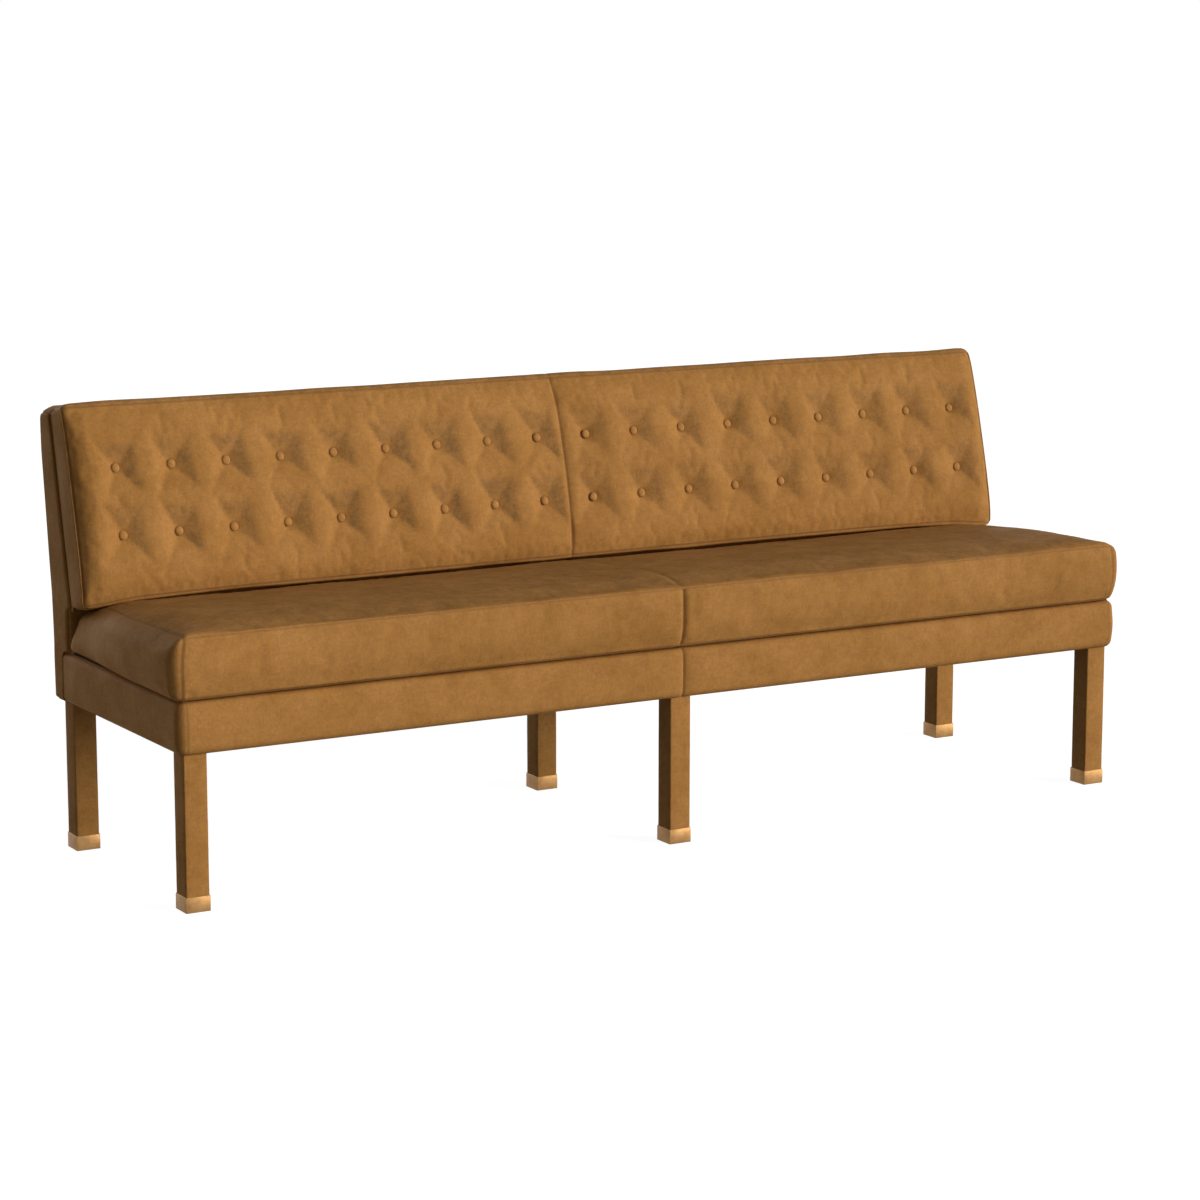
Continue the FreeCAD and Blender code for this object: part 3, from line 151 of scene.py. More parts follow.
# Taper of the left end by height: least share, share of the bend, share of the rise, height of the bend
SEAT_TAPER_BY_HEIGHT = (0.42, 0.33, 0.25, 0.7)
SEAT_TAPER_REACH = (0.12, 0.35, 0.6)
SEAT_TUCK_REACH = (0.05, 0.6)
SEAT_CORNER_REACH = (0.045, 0.35, 0.65, 0.4)
SEAT_SEWN_SHARE = 0.9
SEAT_GRID = (0.0012, 0.008, 0.024)
SEAT_RUN_STEP = 0.0105
SEAT_FREE = 0.02
SEAT_EDGE_REACH = 0.014
# Crest behind the front seam: its place, its width, and how far from the seam it starts
SEAT_CREST = (0.013, 0.012, 0.008)
# Depth of the middle seam where it is hidden and on top, as shares, and the share of the length at its ends
SEAT_MIDDLE_SHARES = (0.3, 0.12, 0.02)
# Strength of the painted shade along the seat's seams
SEAT_SEAM_SHADE = 0.62
# Edge of the painted shade on the seat's top, behind the front seam: its place, how much wider it is on the
# right, where that starts, over what length, and how soft the edge is
SEAT_SHADE_EDGE = (0.0075, 0.0060, -0.8, 0.5, 0.004)
# Share of the depth where the painted shade on the seat's top ends towards the rear
SEAT_SHADE_END = 0.97
SEAT_SLACK = 0.003
PAD_SLACK = 0.005
PAD_GRID = (0.0012, 0.0042, 0.016, 0.006)
PAD_RUN_STEP = 0.0075
PAD_FREE = 0.015
PAD_BUTTON_FREE = (0.4, 0.02)
PAD_LIP_REACH = (0.06, 0.3, 0.5, 0.35, 0.12)
PAD_LIP_START = 0.004
PAD_LIP_END = 0.8
PAD_TUCK_REACH = 0.03
PAD_REAR_CORNER = (0.028, 0.8, 0.2, 0.4)
PAD_CALM = (0.045, 0.022)
PAD_MIDDLE_SHARE = 0.35
# Strength of the painted shade along the pad's edge seams
PAD_SEAM_SHADE = 0.85
BELLY_CURVE = 0.8
BULGE_REACH = 0.10
END_POWER = 4
CLOTH_FRAMES = 20
CLOTH_SETTINGS = {
    "quality": 6, "mass": 0.4, "tension_stiffness": 30, "compression_stiffness": 30, "shear_stiffness": 12,
    "bending_stiffness": 0.6, "use_pressure": True, "uniform_pressure_force": 4.0,
}

# Unevenness of the leather: rows of a height, the stretch of the axes, a size and a seed
SEAT_WAVES = ((0.0016, (1, 1, 2), 0.13, 11), (0.0008, (1, 1, 1), 0.045, 12), (0.0003, (1, 1, 1), 0.016, 13))
SEAT_EDGE_WAVES = ((0.0012, (1, 0.2, 0.2), 0.09, 14),)
SEAT_CREST_WAVES = ((0.0017, (1, 0.1, 0.1), 0.060, 15), (0.0009, (1, 0.1, 0.1), 0.024, 16))
# Waviness of the edge of the painted shade on the seat's top
SEAT_SHADE_EDGE_WAVES = ((0.0045, (1, 0.1, 0.1), 0.050, 17),)
PAD_WAVES = ((0.0012, (1, 1, 1), 0.10, 21), (0.0007, (1, 1, 1), 0.035, 22), (0.00025, (1, 1, 1), 0.014, 23))
PAD_LIP_WAVES = ((0.0014, (1, 0.3, 0.3), 0.11, 24),)
APRON_WAVES = ((0.0009, (1, 1, 1), 0.12, 31), (0.0004, (1, 1, 1), 0.035, 32))
OUTER_BACK_WAVES = ((0.0011, (1, 1, 1), 0.16, 41), (0.0005, (1, 1, 1), 0.05, 42))
# Size and seed of the unevenness of the cloths
DECK_NOISE = (0.05, 51)
DUST_NOISE = (0.11, 61)
NOISE_START = 50.5
NOISE_VALUES = 4096
NOISE_KEY = (73, 179, 283)

GRADING_SAMPLES = 1500
OUTLINE_STEPS = 24
TINY = 1e-12
SMALL = 1e-9
NEAR = 1e-6
MERGE_GAP = 0.00005
SLIVER_GAP = 0.00002

# Corners of the base of the pyramid that each button pulls in, from the upper left and clockwise, and how
# much painted shade falls on the four facets that start there: upper, right, lower, left
TUFT_BASE = ((-0.040, 0.058), (0.042, 0.056), (0.056, -0.052), (-0.036, -0.056))
TUFT_SHADE = (0.75, 1.0, 0.0, 0.0)
TUFT_FOLD_SHARES = (0.88, 0.62)
# Colour that the painted shade multiplies the leather by, and the strength of the painted shade on the tufts
# and on the pad's top and right end
SHADE_TINT = (0.64, 0.70, 0.92)
PAD_TUFT_SHADE = 0.85
PAD_RIM_SHADE = 0.85
TUFT_CRISPNESS = 14
TUFT_SEED = 36
TUFT_SHARE_RANGE = (0.85, 1.1)
TUFT_BASE_RANGE = (0.84, 1.14)
TUFT_REACH_RANGE = (0.9, 1.15)
# Random spread of the strength of the painted shade from button to button
TUFT_SHADE_RANGE = (0.75, 1.1)
TUFT_FAR = 2.6
TUFT_PYRAMID_CURVE = 1.08
TUFT_DIMPLE_CURVE = 2.4
# How far into a facet the painted shade grows, and its strength on the left and the right half of the pad
TUFT_SHADE_REACH = 0.25
TUFT_SHADE_SIDES = (1.0, 0.72)

BUTTONS_IN_ROW = 18
BUTTON_DIAMETER = 0.0178
BUTTON_HEIGHT = 0.0063
BUTTON_SINK = 0.0004
BUTTON_SEGMENTS = 28
BUTTON_ROLL = 0.6
BUTTON_HOLD = 0.42
# Painted shade round each button: where it starts as a share of the diameter, its strength and its width
BUTTON_SHADE = (0.48, 0.6, 0.0016)
PLACING_ROUNDS = 12
BUTTON_PROFILE_SHARES = ((0, 0.0), (0.80, 0.0), (0.96, 0.14), (1.0, 0.34), (0.97, 0.54), (0.86, 0.72),
                         (0.66, 0.87), (0.36, 0.97), (0, 1.0))

APRON_CORNER = 0.016
APRON_ROLL = 0.013
APRON_LOWER_HEM = 0.012
APRON_UPPER_HEM = 0.030
APRON_SWELL = 0.004
APRON_SAG = 0.003
APRON_FACE_SHARE = 1.2
APRON_SIDE_GRID = (0.002, 0.011, 0.03)
APRON_FRONT_GRID = (0.0012, 0.011, 0.03)
APRON_BEND_STEPS = 9
APRON_ROLL_STEPS = 7
APRON_HEM_STEPS = 5
APRON_FACE_STEPS = 14
# Swell left at the middle seam, and how far from that seam and from the ends it grows
APRON_HOLD = (0.45, 0.05, 0.06)
APRON_GROOVES = (0.0036, 0.0004)
APRON_FREE = 0.02
# Strength of the painted shade along the apron's corner seams
APRON_CORNER_SHADE = 0.4
LEATHER = 0.002
CLOTH_WALL = 0.0009
LEG_SEAM_SHIFT = 0.012
LEG_SEAM_LIFT = 0.0003
LEG_SEAM_ENDS = (0.030, 0.003)
LEG_SEAM_POINTS = 20
LEG_SPACING = 1.0
STRAPS = 18
STRAP_WIDTH = 0.060
STRAP_SKIN = 0.0006
STRAP_GRID = (9, 90)
# Pitch of the ribs and of the picks of the webbing, and their height
STRAP_WEAVE = (0.0075, 0.012, 0.00035)
DECK_GRID = (300, 60)
DECK_FOLD = 0.012
DECK_RIM = 0.05
DECK_SAG = 0.0022
DECK_UNEVEN = 0.0007
DECK_STAPLE_ENDS = (0.05, 0.04)
DUST_SAG = 0.003
DUST_UNEVEN = 0.35
DUST_PLAY = 0.0012
DUST_LEG_REACH = 0.06
DUST_RIM = (0.03, 0.08)
DUST_GRID = (0.008, 0.014, 0.03)
DUST_STAPLE_GAP = 0.034
DUST_STAPLE_ENDS = (0.075, 0.055)
STAPLE_INSET = 0.010
STAPLE_WIRE = 0.0010
STAPLE_WIDTH = 0.0100
STAPLE_PITCH = 0.042
STAPLE_ROLL = 0.16
STAPLE_LEG = 3
STAPLE_BEVEL = 0.3
# How far the crown and the legs of a staple sit in the cloth, as shares of half the wire
STAPLE_SINK = (0.5, 2.6)
ZIP_PITCH = 0.0042
ZIP_MARGIN = 0.004
ZIP_TAPE_POINTS = 240
ZIP_TAPE_SHARES = (-1, -0.98, -0.6, -0.2, 0.2, 0.6, 0.98, 1)
ZIP_TAPE_LIFT = 0.0010
ZIP_TAPE_WALL = 0.0008
# Height and length of the ripple along the tape, and how far from its middle it reaches
ZIP_BOW = (0.0003, 0.05, 0.006)
ZIP_TEETH_LIFT = 0.0015
ZIP_TEETH_GAP = 0.0012
ZIP_TOOTH = ((ZIP_PITCH * 0.32, 0.0007, 0.0019), 0.0002)
# Name, distance from the right end, lift, half sizes and bevel of the slider and its pull
ZIP_FITTINGS = (("zip_slider", 0.012, 0.0023, (0.0055, 0.0007, 0.0042), 0.0006),
                ("zip_pull", 0.023, 0.0032, (0.0085, 0.0004, 0.0024), 0.0004))
SLEEVE_EASE = 0.0014
SLEEVE_ROW_SEEDS = (0, 7.7)
SLEEVE_SEED_STEP = 3.1
CAP_WALL = 0.0008
CAP_FLOOR = 0.0022
CAP_EASE = 0.0004
CAP_BEVEL = 0.0008
CAP_SHARP_ANGLE = math.radians(40)
CAP_MATCH = 1e-5

# Darker and lighter colour, or clean and tarnished, of each finish but the leather
BRASS_COLOURS = ((0.29, 0.162, 0.064), (0.215, 0.115, 0.042))
BEECH_COLOURS = ((0.50, 0.31, 0.17), (0.66, 0.46, 0.28))
BIRCH_COLOURS = ((0.62, 0.45, 0.27), (0.74, 0.58, 0.38))
JUTE_COLOURS = ((0.20, 0.15, 0.09), (0.46, 0.37, 0.24))
# The deck cloth's own dark brown, darkened near black as painted shade where the cloth shows beside the
# cushion
TWILL_COLOURS = ((0.030, 0.021, 0.014), (0.046, 0.032, 0.021))
CAMBRIC_COLOURS = ((0.012, 0.012, 0.013), (0.040, 0.040, 0.042))
WADDING_COLOURS = ((0.62, 0.61, 0.58), (0.80, 0.79, 0.76))
TAPE_COLOURS = ((0.14, 0.075, 0.035), (0.21, 0.115, 0.055))
ZIP_COLOURS = ((0.50, 0.36, 0.19), (0.66, 0.50, 0.28))
STEEL_COLOURS = ((0.50, 0.51, 0.52), (0.66, 0.66, 0.65))
THREAD_COLOURS = ((0.27, 0.125, 0.040), (0.40, 0.20, 0.070))
WAVE_SCALE = 0.314

FLOOR_REACH = 30.0
FLOOR_COLOUR = (0.30, 0.30, 0.30)
FLOOR_GLOW = 0.93
REAR_LAMP_SHARE = 0.25
REAR_LAMP_TURN_SHARE = 0.2
LAMP_SPREAD = math.radians(40)
LAMP_COLOUR = (1.0, 0.985, 0.96)
SENSOR_WIDTH = 36
VIEW_END = 100
SKY_RANGE = {"From Min": -0.10, "From Max": 0.9, "To Min": 0.60, "To Max": 1.05}


# Settings

class LeatherSettings(bpy.types.PropertyGroup):
    """Colours and grain of the tan leather."""
    light: bpy.props.FloatVectorProperty(
        name="Light tan", description="Colour of the worn, lighter leather", subtype="COLOR",
        size=3, min=0, max=1, default=(0.410, 0.196, 0.056))
    dark: bpy.props.FloatVectorProperty(
        name="Dark tan", description="Colour of the darker clouds in the leather", subtype="COLOR",
        size=3, min=0, max=1, default=(0.315, 0.145, 0.036))
    # Colour that the painted shade in the seams and round the buttons darkens the leather towards
    seam: bpy.props.FloatVectorProperty(
        name="Seam brown", description="Colour of the leather down in the seams", subtype="COLOR",
        size=3, min=0, max=1, default=(0.120, 0.050, 0.016))
    grain: bpy.props.FloatProperty(
        name="Grain", description="Size of one grain of the leather", subtype="DISTANCE",
        min=0.0002, max=0.01, default=0.0011)
    clouds: bpy.props.FloatProperty(
        name="Clouds", description="Size of the lighter and darker clouds", subtype="DISTANCE",
        min=0.01, max=1.0, default=0.075)


class SeatSettings(bpy.types.PropertyGroup):
    """Sizes of the loose seat cushion."""
    crown: bpy.props.FloatProperty(
        name="Crown", description="Rise of the top between its seams", subtype="DISTANCE",
        min=0, max=0.05, default=0.015)
    roll: bpy.props.FloatProperty(
        name="End roll", description="Radius of the rounded ends", subtype="DISTANCE",
        min=0.004, max=0.05, default=0.027)
    bulge: bpy.props.FloatProperty(
        name="End bulge", description="How far the ends swell out", subtype="DISTANCE",
        min=0, max=0.03, default=0.007)
    swelling: bpy.props.FloatProperty(
        name="Swelling", description="Furthest that the cloth run moves the leather", subtype="DISTANCE",
        min=0, max=0.02, default=0.003)
    seam_depth: bpy.props.FloatProperty(
        name="Middle seam", description="Depth of the drawn-in seam in the middle", subtype="DISTANCE",
        min=0, max=0.02, default=0.0045)


class PadSettings(bpy.types.PropertyGroup):
    """Sizes of the buttoned back pad."""
    lean: bpy.props.FloatProperty(
        name="Lean", description="How far the pad leans back", subtype="ANGLE", default=math.radians(13))
    foot: bpy.props.FloatVectorProperty(
        name="Foot", description="Depth and height of the place that the pad leans about",
        subtype="TRANSLATION", size=2, default=(0.198, 0.477))
    thickness: bpy.props.FloatProperty(
        name="Thickness", description="Thickness of the pad at its bottom seam", subtype="DISTANCE",
        min=0.01, max=0.2, default=0.073)
    height: bpy.props.FloatProperty(
        name="Height", description="Length of the pad up its slope", subtype="DISTANCE",
        min=0.1, max=1.0, default=0.381)
    drop: bpy.props.FloatProperty(
        name="Drop", description="How far the pad reaches below its foot", subtype="DISTANCE",
        min=0, max=0.1, default=0.008)
    crown: bpy.props.FloatProperty(
        name="Crown", description="Rise of the face between its seams", subtype="DISTANCE",
        min=0, max=0.05, default=0.027)
    roll: bpy.props.FloatProperty(
        name="End roll", description="Radius of the rounded ends", subtype="DISTANCE",
        min=0.004, max=0.05, default=0.017)
    tuft_depth: bpy.props.FloatProperty(
        name="Tuft depth", description="How deep the buttons pull the face in", subtype="DISTANCE",
        min=0, max=0.04, default=0.0115)
    tuft_reach: bpy.props.FloatProperty(
        name="Tuft reach", description="How far the dimple round a button reaches", subtype="DISTANCE",
        min=0.01, max=0.1, default=0.034)
    swelling: bpy.props.FloatProperty(
        name="Swelling", description="Furthest that the cloth run moves the leather", subtype="DISTANCE",
        min=0, max=0.02, default=0.0027)
    seam_depth: bpy.props.FloatProperty(
        name="Middle seam", description="Depth of the drawn-in seam in the middle", subtype="DISTANCE",
        min=0, max=0.02, default=0.0024)


class StageSettings(bpy.types.PropertyGroup):
    """Camera, lamp and world of the picture."""
    lens: bpy.props.FloatProperty(
        name="Lens", description="Focal length on a 36 mm wide sensor, in millimetres",
        min=10, max=300, default=100.94)
    place: bpy.props.FloatVectorProperty(
        name="Camera place", description="Where the camera stands", subtype="TRANSLATION",
        size=3, default=(-3.28619, -5.64707, 1.57748))
    turn: bpy.props.FloatProperty(
        name="Camera turn", description="Turn of the view from straight at the front", subtype="ANGLE",
        default=math.radians(30.162))
    tilt: bpy.props.FloatProperty(
        name="Camera tilt", description="Tilt of the view below level", subtype="ANGLE",
        default=math.radians(9.976))
    lamp_turn: bpy.props.FloatProperty(
        name="Lamp turn", description="How far to the right of the front the lamp stands", subtype="ANGLE",
        default=math.radians(44))
    lamp_rise: bpy.props.FloatProperty(
        name="Lamp rise", description="Height of the lamp above level", subtype="ANGLE",
        default=math.radians(12))
    lamp_power: bpy.props.FloatProperty(
        name="Lamp strength", description="Strength of the lamp", min=0, max=20, default=4.3)
    sky: bpy.props.FloatProperty(
        name="Sky strength", description="Strength of the light from above", min=0, max=5, default=0.18)


SETTINGS = (("banquette_leather", LeatherSettings), ("banquette_seat", SeatSettings),
            ("banquette_pad", PadSettings), ("banquette_stage", StageSettings))


# Arrays and meshes

def soft_noise(points, size, seed):
    """Smooth noise from -1 to 1 that changes over about the given size."""
    scaled = np.asarray(points, float) / size + NOISE_START
    cell = np.floor(scaled).astype(int)
    part = ease(scaled - cell)
    table = np.random.default_rng(seed).uniform(-1, 1, NOISE_VALUES)
    total = np.zeros(len(scaled))
    for corner in np.ndindex(2, 2, 2):
        key = (cell + np.array(corner)) @ np.array(NOISE_KEY) % len(table)
        share = np.prod(np.where(np.array(corner) == 1, part, 1 - part), axis=1)
        total += share * table[key]
    return total


def waves(points, table):
    """Unevenness from rows of a height, the stretch of the axes, a size and a seed."""
    return sum(height * soft_noise(points * np.array(stretch), size, seed)
               for height, stretch, size, seed in table)


def cloth_noise(x, y, size, seed):
    """Smooth noise over the places of a flat cloth."""
    return soft_noise(np.stack([x, y, 0 * x], axis=-1).reshape(-1, 3), size, seed).reshape(x.shape)


def ease(value):
    """Smooth step from 0 to 1."""
    held = np.clip(value, 0, 1)
    return held * held * (3 - 2 * held)


def ridge(distance, width):
    """Bell shape, 1 at no distance and next to nothing past twice the width."""
    return np.exp(-(distance / width) ** 2)


def graded(first, last, fine, coarse, reach):
    """Places from first to last, spaced finely beside both and coarsely from reach away."""
    places = np.linspace(first, last, GRADING_SAMPLES)
    gap = np.minimum(places - first, last - places)
    density = 1 / (fine + (coarse - fine) * np.clip(gap / reach, 0, 1))
    count = np.concatenate([[0], np.cumsum((density[1:] + density[:-1]) / 2 * np.diff(places))])
    steps = max(2, round(count[-1]))
    return np.interp(np.linspace(0, count[-1], steps + 1), count, places)


def graded_run(stops, fine, coarse, reach):
    """Graded places through several stops, each with fine spacing beside it."""
    runs = [graded(a, b, fine, coarse, reach) for a, b in zip(stops, stops[1:])]
    return np.concatenate([runs[0]] + [run[1:] for run in runs[1:]])


def box_skin(along, deep, high):
    """Grid points on the skin of a box, and the quads between them, which face outwards."""
    shape = (len(along), len(deep), len(high))
    inner = np.zeros(shape, bool)
    inner[1:-1, 1:-1, 1:-1] = True
    index = np.full(shape, -1)
    index[~inner] = np.arange(np.count_nonzero(~inner))
    points = np.stack(np.meshgrid(along, deep, high, indexing="ij"), axis=-1)[~inner]
    sides = {}
    for axis in range(3):
        for end in (0, -1):
            sheet = np.take(index, end, axis=axis)
            quads = np.stack([sheet[:-1, :-1], sheet[1:, :-1], sheet[1:, 1:], sheet[:-1, 1:]], axis=-1)
            if (axis == 1) == (end == -1):
                quads = quads[..., ::-1]
            sides[axis, end] = quads.reshape(-1, 4)
    return points, sides


def side_edge(quads):
    """The points round a side of the box, in order, from the quads of that side."""
    starts = np.concatenate([quads[:, k] for k in range(4)])
    ends = np.concatenate([quads[:, (k + 1) % 4] for k in range(4)])
    edges = set(zip(starts.tolist(), ends.tolist()))
    following = {a: b for a, b in edges if (b, a) not in edges}
    first = min(following)
    ring = [first]
    while following[ring[-1]] != first:
        ring.append(following[ring[-1]])
    return ring


def grid_quads(shape):
    """Quads between the points of a flat grid."""
    index = np.arange(shape[0] * shape[1]).reshape(shape)
    return np.stack([index[:-1, :-1], index[1:, :-1], index[1:, 1:], index[:-1, 1:]], axis=-1).reshape(-1, 4)


def point_normals(points, quads):
    """Outward direction at each point of a mesh of quads."""
    corners = points[quads]
    faces = np.cross(corners[:, 2] - corners[:, 0], corners[:, 3] - corners[:, 1])
    normals = np.zeros_like(points)
    for k in range(4):
        np.add.at(normals, quads[:, k], faces)
    return normals / np.maximum(np.linalg.norm(normals, axis=1), TINY)[:, None]


def linked(name, mesh):
    """A new object in the scene with a mesh."""
    piece = bpy.data.objects.new(name, mesh)
    bpy.context.scene.collection.objects.link(piece)
    return piece


def worked(name, work):
    """A mesh from finished bmesh work."""
    mesh = bpy.data.meshes.new(name)
    work.to_mesh(mesh)
    work.free()
    return mesh


def add_block(work, centre, half_sizes):
    """Adds a block to bmesh work."""
    for vert in bmesh.ops.create_cube(work, size=2)["verts"]:
        vert.co = Vector([centre[k] + vert.co[k] * half_sizes[k] for k in range(3)])


def new_mesh(name, points, faces, material=None, shade=None):
    """A smooth mesh object; shade is how much painted shade each point gets, most deep in a seam, for the
    leather to read.
    """
    mesh = bpy.data.meshes.new(name)
    mesh.from_pydata(np.asarray(points).tolist(), [], [list(face) for face in faces])
    mesh.shade_smooth()
    piece = linked(name, mesh)
    if shade is not None:
        set_layer(piece, "seam_shade", shade)
    if material is not None:
        mesh.materials.append(material)
    mesh.validate()
    return piece


def set_layer(piece, name, values):
    """A named value on every point of a piece, for its material to read."""
    layer = piece.data.attributes.new(name, "FLOAT", "POINT")
    layer.data.foreach_set("value", values.astype(np.float32))


def fit_out(piece, body, nodes=()):
    """Puts a finished piece on its body and hides the nodes that it stands for."""
    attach(piece, body)
    if nodes:
        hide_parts(*nodes)


def grown(name, tree, values, points=(), edges=()):
    """Runs a node tree on points and edges, and gives its result as a plain mesh object."""
    mesh = bpy.data.meshes.new(name)
    mesh.from_pydata([list(point) for point in points], [list(edge) for edge in edges], [])
    piece = linked(name, mesh)
    modifier = piece.modifiers.new("Nodes", "NODES")
    modifier.node_group = tree
    for item in tree.interface.items_tree:
        if item.in_out == "INPUT" and item.name in values:
            modifier[item.identifier] = values[item.name]
    piece.update_tag()
    bake_modifiers(piece, keep_layers=False)
    if not piece.data.polygons:
        raise RuntimeError(f"the node tree made nothing for {name}")
    return piece


# Padded forms

class Outline:
    """Closed outline of a padded piece seen from its end, through given points, smooth or straight."""

    def __init__(self, shares, place, smooth=True):
        names = ("bottom", "rear", "top", "front")
        starts = np.cumsum([0] + [len(shares[name]) for name in names])
        points = np.array([place(*share) for name in names for share in shares[name]])
        count = len(points)
        steps = OUTLINE_STEPS
        part = (np.arange(steps) / steps)[:, None]
        dense = []
        for k in range(count):
            a, b, c, d = (points[(k + step) % count] for step in (-1, 0, 1, 2))
            if smooth:
                dense.append(0.5 * (2 * b + (c - a) * part + (2 * a - 5 * b + 4 * c - d) * part ** 2
                                    + (3 * b - a - 3 * c + d) * part ** 3))
            else:
                dense.append(b + (c - b) * part)
        dense = np.concatenate(dense)
        slope = np.roll(dense, -1, axis=0) - np.roll(dense, 1, axis=0)
        length = np.maximum(np.hypot(slope[:, 0], slope[:, 1]), TINY)
        normal = np.stack([slope[:, 1], -slope[:, 0]], axis=1) / length[:, None]
        table = np.concatenate([dense, normal], axis=1)
        table = np.concatenate([table, table[:1]])
        self.sides = {}
        self.lengths = {}
        for k, name in enumerate(names):
            part = table[starts[k] * steps:starts[k + 1] * steps + 1]
            if name in ("top", "front"):
                part = part[::-1]
            run = np.concatenate([[0], np.cumsum(np.linalg.norm(np.diff(part[:, :2], axis=0), axis=1))])
            self.sides[name] = (run / run[-1], part)
            self.lengths[name] = run[-1]

    def side(self, name, share, inset):
        """Depth, height and crown share on one side, drawn in by inset."""
        run, table = self.sides[name]
        columns = np.stack([np.interp(share, run, table[:, k]) for k in range(table.shape[1])], axis=-1)
        columns[..., 0] -= inset * columns[..., 3]
        columns[..., 1] -= inset * columns[..., 4]
        return columns[..., :3]

    def spot(self, deep, high, inset):
        """Depth, height and crown share anywhere on the end of the piece or round its outline."""
        low, top = self.side("bottom", deep, inset), self.side("top", deep, inset)
        front, rear = self.side("front", high, inset), self.side("rear", high, inset)
        none, full = np.zeros_like(deep), np.ones_like(deep)
        a, b = deep[:, None], high[:, None]
        corners = ((1 - a) * (1 - b) * self.side("bottom", none, inset)
                   + a * (1 - b) * self.side("bottom", full, inset)
                   + (1 - a) * b * self.side("top", none, inset)
                   + a * b * self.side("top", full, inset))
        return (1 - b) * low + b * top + (1 - a) * front + a * rear - corners


class PaddedForm:
    """A padded bar: an outline carried along the bench, with rounded, swollen ends."""

    def __init__(self, outline, half, roll, turn, bulge, crown, crown_shares, crown_reach, crown_curve,
                 lean=0.0, foot=(0.0, 0.0), crown_up=True):
        self.outline = outline
        self.half = half
        self.roll = roll
        self.turn = turn
        self.bulge = bulge
        self.crown = crown
        self.crown_shares = crown_shares
        self.crown_reach = crown_reach
        self.crown_curve = crown_curve
        self.lean = lean
        self.foot = foot
        self.crown_up = crown_up

    def reach(self):
        """Length of leather from the middle to the seam round the end."""
        return self.half - self.roll + self.roll * self.turn

    def deep_length(self):
        """Length of leather from front to rear over the top."""
        return self.outline.lengths["top"]

    def high_length(self):
        """Length of leather up the front."""
        return self.outline.lengths["front"]

    def world(self, x, depth, height):
        """Place in the bench's frame of a place in the leaning frame."""
        sine, cosine = math.sin(self.lean), math.cos(self.lean)
        y = self.foot[0] + depth * cosine + height * sine
        z = self.foot[1] + height * cosine - depth * sine
        return np.stack([x, y, z], axis=1)

    def points(self, grid):
        """Places of grid points, whose first column runs from -1 to 1 and the others from 0 to 1."""
        along, deep, high = grid.T
        run = np.abs(along) * self.reach()
        angle = np.clip((run - (self.half - self.roll)) / self.roll, 0, self.turn)
        inset = self.roll * (1 - np.cos(angle))
        capped = np.abs(along) >= 1
        gaps = [deep * self.deep_length(), (1 - deep) * self.deep_length(),
                high * self.high_length(), (1 - high) * self.high_length()]
        within = sum(np.maximum(gap, NEAR) ** -float(END_POWER) for gap in gaps) ** (-1 / END_POWER)
        swell = np.where(capped, within, 0)
        left = np.maximum(self.roll - inset - swell, 0)
        x = self.half - self.roll + np.sqrt(np.maximum(self.roll ** 2 - left ** 2, 0))
        x = np.where(run < self.half - self.roll, run, x)
        belly = np.sin(math.pi * np.clip(high, 0, 1)) ** BELLY_CURVE
        x += self.bulge * belly * ease((run - self.half + BULGE_REACH) / BULGE_REACH)
        middle, end = self.crown_shares
        quarter = math.pi / 2
        by_middle, by_end = self.crown_reach
        rise = middle + (1 - middle) * np.sin(quarter * np.clip(run / by_middle, 0, 1))
        rise *= 1 - (1 - end) * (1 - np.clip((self.half - run) / by_end, 0, 1)) ** self.crown_curve
        spot = self.outline.spot(deep, high, inset)
        lift = self.crown * rise * spot[:, 2]
        depth = spot[:, 0] - (0 if self.crown_up else lift)
        height = spot[:, 1] + (lift if self.crown_up else 0)
        return self.world(np.sign(along) * x, depth, height)


def cubic_weights(part):
    """Weights of four neighbouring values for a smooth curve through them."""
    return np.stack([-part + 2 * part ** 2 - part ** 3, 2 - 5 * part ** 2 + 3 * part ** 3,
                     part + 4 * part ** 2 - 3 * part ** 3, -part ** 2 + part ** 3]) / 2


def resampled(lines, values, places):
    """Smooth values at places, from values on three sets of grid lines that are only set on the skin."""
    result = np.zeros((len(places), values.shape[-1]))
    ends = [(np.isclose(places[:, axis], lines[axis][end]), axis, end)
            for axis in range(3) for end in (0, -1)]
    done = np.zeros(len(places), bool)
    for on_side, axis, end in ends:
        chosen = on_side & ~done
        done |= on_side
        sheet = np.take(values, end, axis=axis)
        others = [k for k in range(3) if k != axis]
        taps = []
        for k in others:
            spot = np.interp(places[chosen, k], lines[k], np.arange(len(lines[k])))
            base = np.minimum(np.floor(spot).astype(int), len(lines[k]) - 2)
            rows = np.clip(base + np.arange(-1, 3)[:, None], 0, len(lines[k]) - 1)
            taps.append((rows, cubic_weights(spot - base)))
        total = 0
        for i in range(4):
            for j in range(4):
                weight = taps[0][1][i] * taps[1][1][j]
                total = total + weight[:, None] * sheet[taps[0][0][i], taps[1][0][j]]
        result[chosen] = total
    return result


